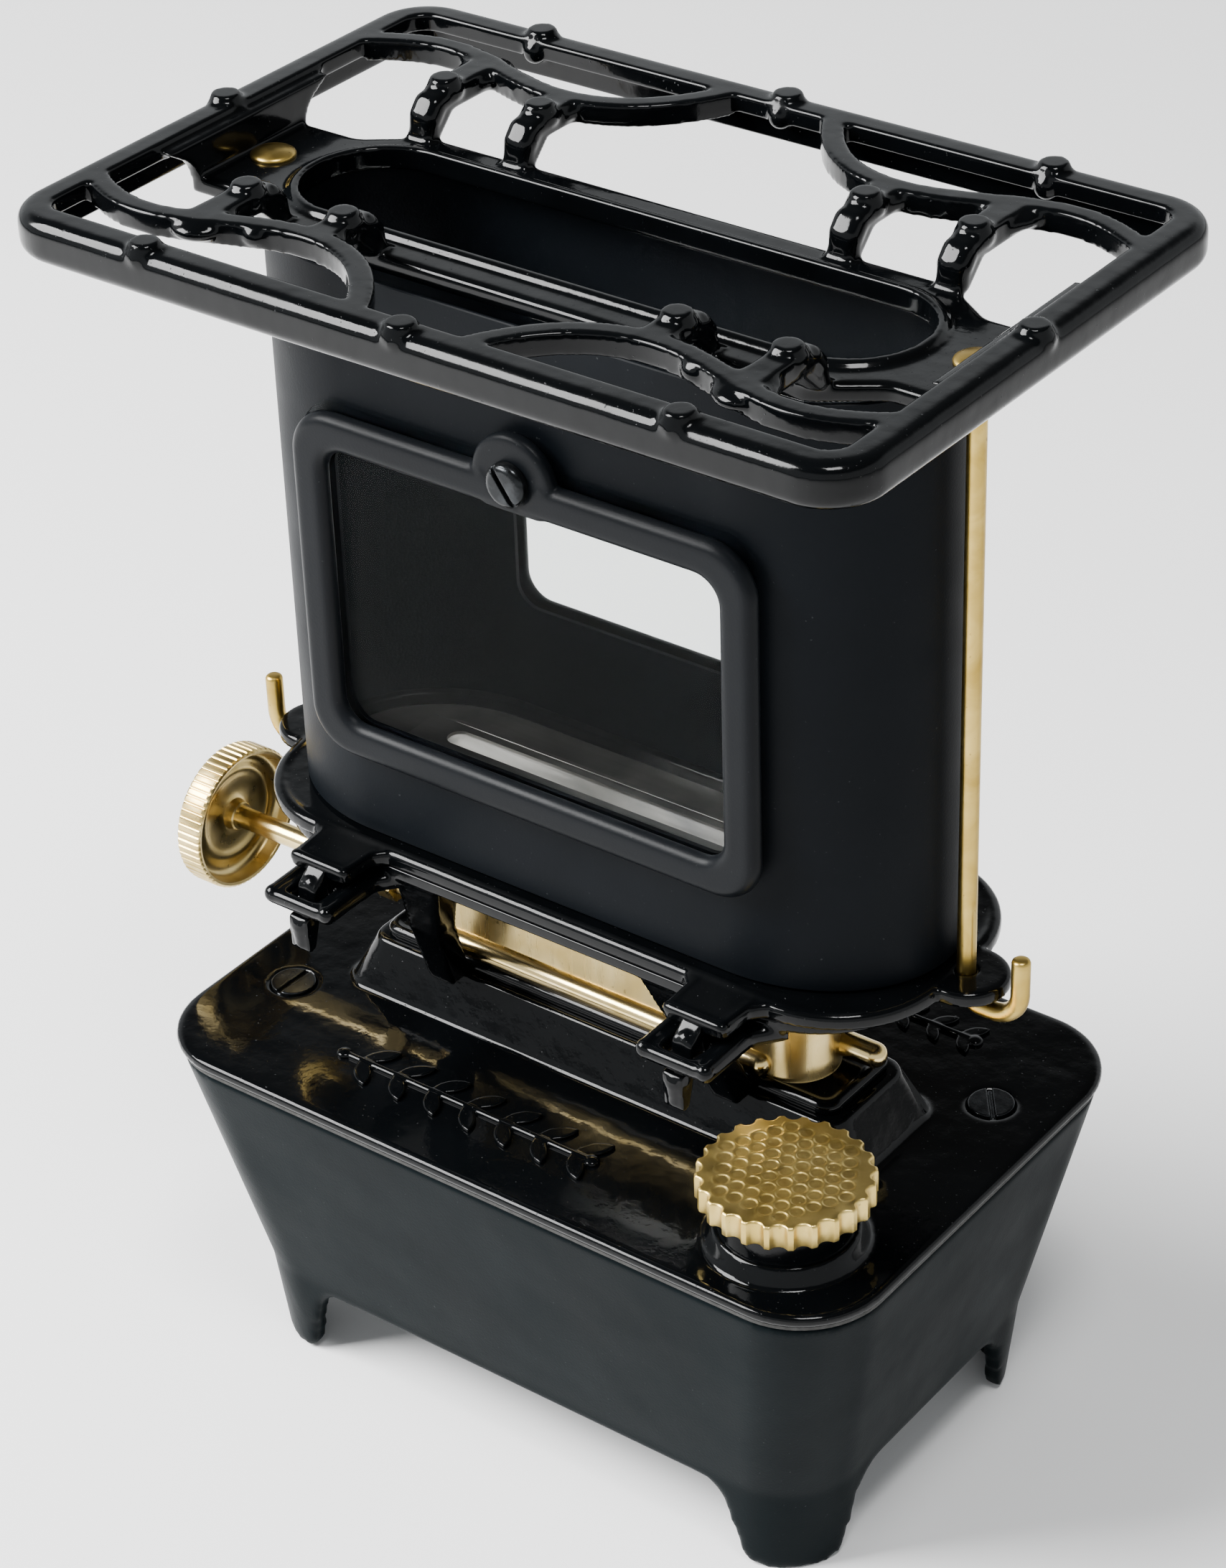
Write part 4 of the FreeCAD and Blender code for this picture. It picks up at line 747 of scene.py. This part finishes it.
def make_ring():
    """Upper casting, with a rounded front edge and sides on each hinge tab."""
    soup = bmesh.new()
    add_nodes(soup, "chimney_ring")
    closed_sweep(soup, at_height(rounded_rectangle(*RING_BEAD_PLAN), RING_BEAD_Z), RING_BEAD_R)
    for side in (-1, 1):
        x = side * TAB_X
        add_rod(soup, (x - 6.4, -44.4, 142.5), (x + 6.4, -44.4, 142.5), 1.5, 1.5)
        for edge in (-1, 1):
            add_rod(soup, (x + edge * 6.5, -44.2, TAB_EDGE_Z), (x + edge * 7.2, -34.0, TAB_EDGE_Z), 1.4, 1.4)
            add_ball(soup, x + edge * 6.6, -44.3, TAB_EDGE_Z, 1.6)
    cast("chimney_ring_casting", soup, 0.5, 6, "enamel", ["chimney_ring"], "enamel_iron")


PRONG_Y = -51.6


def make_hook(which):
    """Cast prong with a rounded shoulder behind the bar and a thin round-nosed tip below it."""
    node = "hinge_hook_" + which
    soup = bmesh.new()
    add_nodes(soup, node)
    low, high = (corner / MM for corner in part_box(node))
    middle = (low.x + high.x) / 2
    add_ball(soup, middle, -47.2, 138.2, 2.75, (1.05, 0.9, 1.0))
    add_ball(soup, middle, PRONG_Y, 130.8, 2.7, (1.1, 0.9, 0.9))
    add_rod(soup, (middle, PRONG_Y, 130.6), (middle, PRONG_Y, 126.2), 2.5, 1.9)
    add_ball(soup, middle, PRONG_Y, 126.1, 1.95)
    cast("hinge_prong_" + which, soup, 0.3, 24, "enamel", [node], "enamel_iron")


# ---------------------------------------------------------------- drum and windows

DRUM_HALF_STRAIGHT = 48.0
DRUM_END_LENGTH = 35.5
DRUM_HALF_DEPTH = 29.5
DRUM_Z = (144.2, 280.0)
SHEET_T = 1.0
SHEET_EDGE = 0.25
WINDOW_HALF = (50.5, 34.0, 6.0)
WINDOW_MID_Z = 207.1
PIVOT_Z = 247.4
PIVOT_HOLE_R = 2.6
CUT_Y = 45.0
FRAME_BROW_Y = 32.4


def cut_by(raw, cutter_soup):
    cutter = link_object("cutter", soup_mesh("cutter", cutter_soup))
    modifier = raw.modifiers.new("cut", "BOOLEAN")
    modifier.operation = "DIFFERENCE"
    modifier.solver = "EXACT"
    modifier.object = cutter
    return cutter


def make_drum():
    """Rolled sheet drum with its two window openings and pivot holes."""
    low, high = DRUM_Z
    profile = [(SHEET_EDGE, low), (0.0, low + SHEET_EDGE), (0.0, high - SHEET_EDGE), (SHEET_EDGE, high),
               (SHEET_T - SHEET_EDGE, high), (SHEET_T, high - SHEET_EDGE), (SHEET_T, low + SHEET_EDGE),
               (SHEET_T - SHEET_EDGE, low)]
    rows = [at_height(oval(DRUM_HALF_STRAIGHT, DRUM_END_LENGTH - t, DRUM_HALF_DEPTH - t, 96), z)
            for t, z in profile]
    raw = link_object("drum_raw", soup_mesh("drum_raw", rows_to_bmesh(rows, True)))
    opening = rounded_rectangle(*WINDOW_HALF)
    window = [[Vector((x, y, WINDOW_MID_Z + z)) for x, z in opening] for y in (-CUT_Y, CUT_Y)]
    first = cut_by(raw, rows_to_bmesh(window))
    axle = [Vector((0, -CUT_Y, PIVOT_Z)), Vector((0, CUT_Y, PIVOT_Z))]
    hole = sweep_rows(axle, [PIVOT_HOLE_R, PIVOT_HOLE_R])
    second = cut_by(raw, rows_to_bmesh(hole))
    mesh = applied(raw)
    for cutter in (first, second):
        bpy.data.objects.remove(cutter)
    place("drum_sheet", mesh, "drum", ["drum"], "black_sheet", 35)


def make_window_frame(which, side):
    node = "frame_" + which
    soup = bmesh.new()
    add_nodes(soup, node)
    y = side * FRAME_BROW_Y
    for across in (-1, 1):
        add_rod(soup, (across * 15.5, y, 244.2), (across * 7.0, y, 247.8), 1.2, 2.2)
    cast("window_frame_" + which, soup, 0.42, 14, "frame", [node], "black_sheet")


def make_pivot_screw(which):
    node = "pivot_screw_" + which
    soup = bmesh.new()
    add_nodes(soup, node)
    cast("window_screw_" + which, soup, 0.17, 4, "screw", [node], "black_steel")


# ---------------------------------------------------------------- trivet and rods

PERIMETER_STUDS = ((65.0, 64.2), (0.0, 64.2), (100.2, 0.0))
INNER_STUDS = ((66.5, 32.0), (41.0, 32.0))
# Strap: (distance inwards from the stud, height) along its middle, and the bead radius of each length
STRAP_LINE = ((0.5, 292.0), (5.0, 291.2), (7.4, 288.4), (7.8, 284.4))
STRAP_RADII = (2.4, 2.5, 2.2)
STRAP_SPREAD = 1.3
# Webs that fill the corners where the arms leave the scrolls: x, y, radius
ARM_WEBS = ((66.5, 43.0, 5.4), (66.5, 46.0, 6.6), (41.0, 38.6, 5.0), (54.0, 43.4, 3.4))


# Shoulder that swells the rim bar on either side of a perimeter stud
SHOULDER_OUT = 0.8
SHOULDER_IN = 2.6
SHOULDER_DROP = 3.0


def add_stud(soup, x, y):
    """Flat button on a pinched neck over a round shoulder."""
    add_ball(soup, x, y, BAND_TOP_Z - 1.6, 4.3, (1, 1, 0.75))
    add_rod(soup, (x, y, BAND_TOP_Z - 3), (x, y, STUD_TOP_Z - 0.9), 2.9, 2.7)
    add_rod(soup, (x, y, STUD_TOP_Z - 1.5), (x, y, STUD_TOP_Z - 0.02), 3.45, 3.3)


ROD_X = 88.0
ROD_R = 2.05
HEAD_R = 5.0
HEAD_EDGE_T = 0.35
HEAD_DOME = 1.35
HEAD_STEPS = 6
HOOK_REACH = 13.2
HOOK_BEND_R = 4.2
HOOK_LIFT_R = 6.5
HOOK_TURN_Z = 140.0
HOOK_POINT_Z = 151.4


def four_ways(x, y):
    return sorted({(sx * x + 0.0, sy * y + 0.0) for sx in (-1, 1) for sy in (-1, 1)})


def add_strap(soup, x, y):
    """Bulging strap that drops from an inner stud to the sunk plate."""
    inward = -1 if y > 0 else 1
    line = [(x, y + reach * inward, z) for reach, z in STRAP_LINE]
    for (start, end), radius in zip(zip(line, line[1:]), STRAP_RADII):
        for across in (-STRAP_SPREAD, 0, STRAP_SPREAD):
            first = (start[0] + across, start[1], start[2])
            second = (end[0] + across, end[1], end[2])
            add_rod(soup, first, second, radius, radius)
            add_ball(soup, *first, radius)


def make_trivet():
    soup = bmesh.new()
    add_nodes(soup, "trivet_rim", "trivet_plate", "trivet_scrolls")
    for spot in PERIMETER_STUDS:
        for x, y in four_ways(*spot):
            add_stud(soup, x, y)
            outward = Vector((0, 1 if y > 0 else -1, 0)) if abs(y) > 1 else Vector((1 if x > 0 else -1, 0, 0))
            z = BAND_TOP_Z - SHOULDER_DROP
            add_ball(soup, x + SHOULDER_OUT * outward.x, y + SHOULDER_OUT * outward.y, z, 3.0)
            add_ball(soup, x - SHOULDER_IN * outward.x, y - SHOULDER_IN * outward.y, z, 2.8)
    for spot in INNER_STUDS:
        for x, y in four_ways(*spot):
            add_stud(soup, x, y)
            add_strap(soup, x, y)
    for x, y, radius in ARM_WEBS:
        for spot_x, spot_y in four_ways(x, y):
            add_ball(soup, spot_x, spot_y, BAND_TOP_Z - 2.5, radius, (1, 1, 2.45 / radius))
    cast("trivet", soup, 0.6, 6, "enamel", ["trivet_rim", "trivet_plate", "trivet_scrolls"], "enamel_iron")


def quarter_turn(centre, radius, start, side, steps=12):
    """Points round a quarter of the hook's bend, in the XZ plane."""
    points = []
    for i in range(steps + 1):
        angle = start + math.pi / 2 * i / steps
        points.append(centre + Vector((side * radius * math.cos(angle), 0, radius * math.sin(angle))))
    return points


def make_tie_rod(which, side):
    """Brass rod from a peened head down through the plate to an upturned hook."""
    x = side * ROD_X
    tip_x = side * (ROD_X + HOOK_REACH)
    line = []
    for i in range(HEAD_STEPS + 1):
        angle = math.pi / 2 * i / HEAD_STEPS
        dome_z = PLATE_TOP_Z + HEAD_EDGE_T + HEAD_DOME * math.cos(angle)
        line.append((Vector((x, 0, dome_z)), max(HEAD_R * math.sin(angle), 0.03)))
    for z, radius in ((PLATE_TOP_Z + 0.02, 4.95), (PLATE_TOP_Z, 4.8), (PLATE_TOP_Z - 0.05, ROD_R),
                      (PLATE_TOP_Z - 4.0, ROD_R), (220.0, ROD_R), (HOOK_TURN_Z + 4.0, ROD_R)):
        line.append((Vector((x, 0, z)), radius))
    lift_z = HOOK_TURN_Z - HOOK_BEND_R + HOOK_LIFT_R
    first = quarter_turn(Vector((x + side * HOOK_BEND_R, 0, HOOK_TURN_Z)), HOOK_BEND_R, math.pi, side)
    second = quarter_turn(Vector((tip_x - side * HOOK_LIFT_R, 0, lift_z)), HOOK_LIFT_R, 1.5 * math.pi, side)
    line += [(point, ROD_R) for point in first + second]
    for drop, thinner in ((8.0, 0), (0.9, 0), (0.4, 0.2), (0.1, 0.6), (0, 1.1)):
        line.append((Vector((tip_x, 0, HOOK_POINT_Z - drop)), ROD_R - thinner))
    rows = sweep_rows([point for point, radius in line], [radius for point, radius in line], 36)
    skin("tie_rod_hook_" + which, rows, "rod", ["tie_rod_" + which], "brass", 40)


# ---------------------------------------------------------------- carried-over CAD nodes

KEPT_NODES = {
    "tank_gasket": "seal",
    "cap_gasket": "seal",
    "filler_neck": "enamel",
    "wick_tube": "burner",
    "shaft_gland": "burner",
    "shaft_bearing": "burner",
    "wick_shaft": "roll",
    "sprocket_left": "roll",
    "sprocket_right": "roll",
    "flame_deck": "deck",
    "deck_spreader": "deck",
    "pivot_nut_front": "screw",
    "pivot_nut_rear": "screw",
    "glass_front": "pane",
    "glass_rear": "pane",
}


def dress_kept_nodes():
    for node, material in KEPT_NODES.items():
        piece = frame["nodes"][node]
        for holder in piece.material_slots:
            holder.material = MATERIALS[material]


# ---------------------------------------------------------------- stage, lights, camera

FLOOR_HALF_M = 6.0


def make_floor():
    soup = bmesh.new()
    bmesh.ops.create_grid(soup, x_segments=2, y_segments=2, size=FLOOR_HALF_M)
    mesh = bpy.data.meshes.new("floor")
    soup.to_mesh(mesh)
    soup.free()
    material, tree, shader = new_material("pale_floor")
    tree.links.new(ramp(tree, noise(tree, 3, 2), [(0.3, (0.84, 0.84, 0.84)), (0.7, (0.87, 0.87, 0.87))]),
                   shader.inputs["Base Color"])
    shader.inputs["Roughness"].default_value = 0.9
    shader.inputs["Specular IOR Level"].default_value = 0.1
    mesh.materials.append(material)
    link_object("floor", mesh)


def area_light(name, at, target, size, power):
    data = bpy.data.lights.new(name, "AREA")
    data.shape = "RECTANGLE"
    data.size, data.size_y = size
    data.energy = power
    lamp = link_object(name, data)
    lamp.location = at
    lamp.rotation_euler = (Vector(target) - Vector(at)).to_track_quat("-Z", "Y").to_euler()


def make_world():
    world = bpy.data.worlds.new("studio")
    world.use_nodes = True
    tree = world.node_tree
    direction = tree.nodes.new("ShaderNodeTexCoord")
    split = tree.nodes.new("ShaderNodeSeparateXYZ")
    tree.links.new(direction.outputs["Generated"], split.inputs["Vector"])
    glow = ramp(tree, split.outputs["Z"], [(0.0, (0.95, 0.98, 1.0)), (0.46, (0.9, 0.93, 0.95)), (0.6, 0.12)])
    tree.nodes["Background"].inputs["Strength"].default_value = 1.2
    tree.links.new(glow, tree.nodes["Background"].inputs["Color"])
    bpy.context.scene.world = world


def make_camera():
    azimuth, elevation, roll = (math.radians(a) for a in (CAMERA_AZIMUTH, CAMERA_ELEVATION, CAMERA_ROLL))
    back = Vector((math.sin(azimuth) * math.cos(elevation), -math.cos(azimuth) * math.cos(elevation),
                   math.sin(elevation)))
    right = Vector((math.cos(azimuth), math.sin(azimuth), 0))
    up = back.cross(right)
    turned_right = right * math.cos(roll) + up * math.sin(roll)
    turned_up = up * math.cos(roll) - right * math.sin(roll)
    data = bpy.data.cameras.new("camera")
    data.lens = CAMERA_LENS
    data.sensor_width = 36.0
    data.clip_start = 0.01
    data.clip_end = 50.0
    camera = link_object("camera", data)
    turn = Matrix((turned_right, turned_up, back)).transposed().to_4x4()
    camera.matrix_world = Matrix.Translation(Vector(CAMERA_AT)) @ turn
    bpy.context.scene.camera = camera


make_camera()
make_world()
make_floor()
area_light("key_front_left", (-1.05, -0.88, 1.28), (0, 0, 0.2), (1.1, 0.9), 135)
area_light("overhead_front", (0.5, -0.4, 1.8), (0, 0, 0.2), (0.45, 0.45), 22)

make_tank()
make_lid()
for which in ("front", "rear"):
    make_ornament(which)
for which in ("left", "right"):
    make_lid_screw(which)
make_filler_cap()
make_burner_flange()
make_burner_body()
make_burner_roll()
make_burner_vent()
make_wick()
make_wick_wheel()
make_gallery()
make_ring()
for which in ("left", "right"):
    make_hook(which)
make_drum()
for which, side in (("front", -1), ("rear", 1)):
    make_window_frame(which, side)
    make_pivot_screw(which)
make_trivet()
for which, side in (("left", -1), ("right", 1)):
    make_tie_rod(which, side)
dress_kept_nodes()
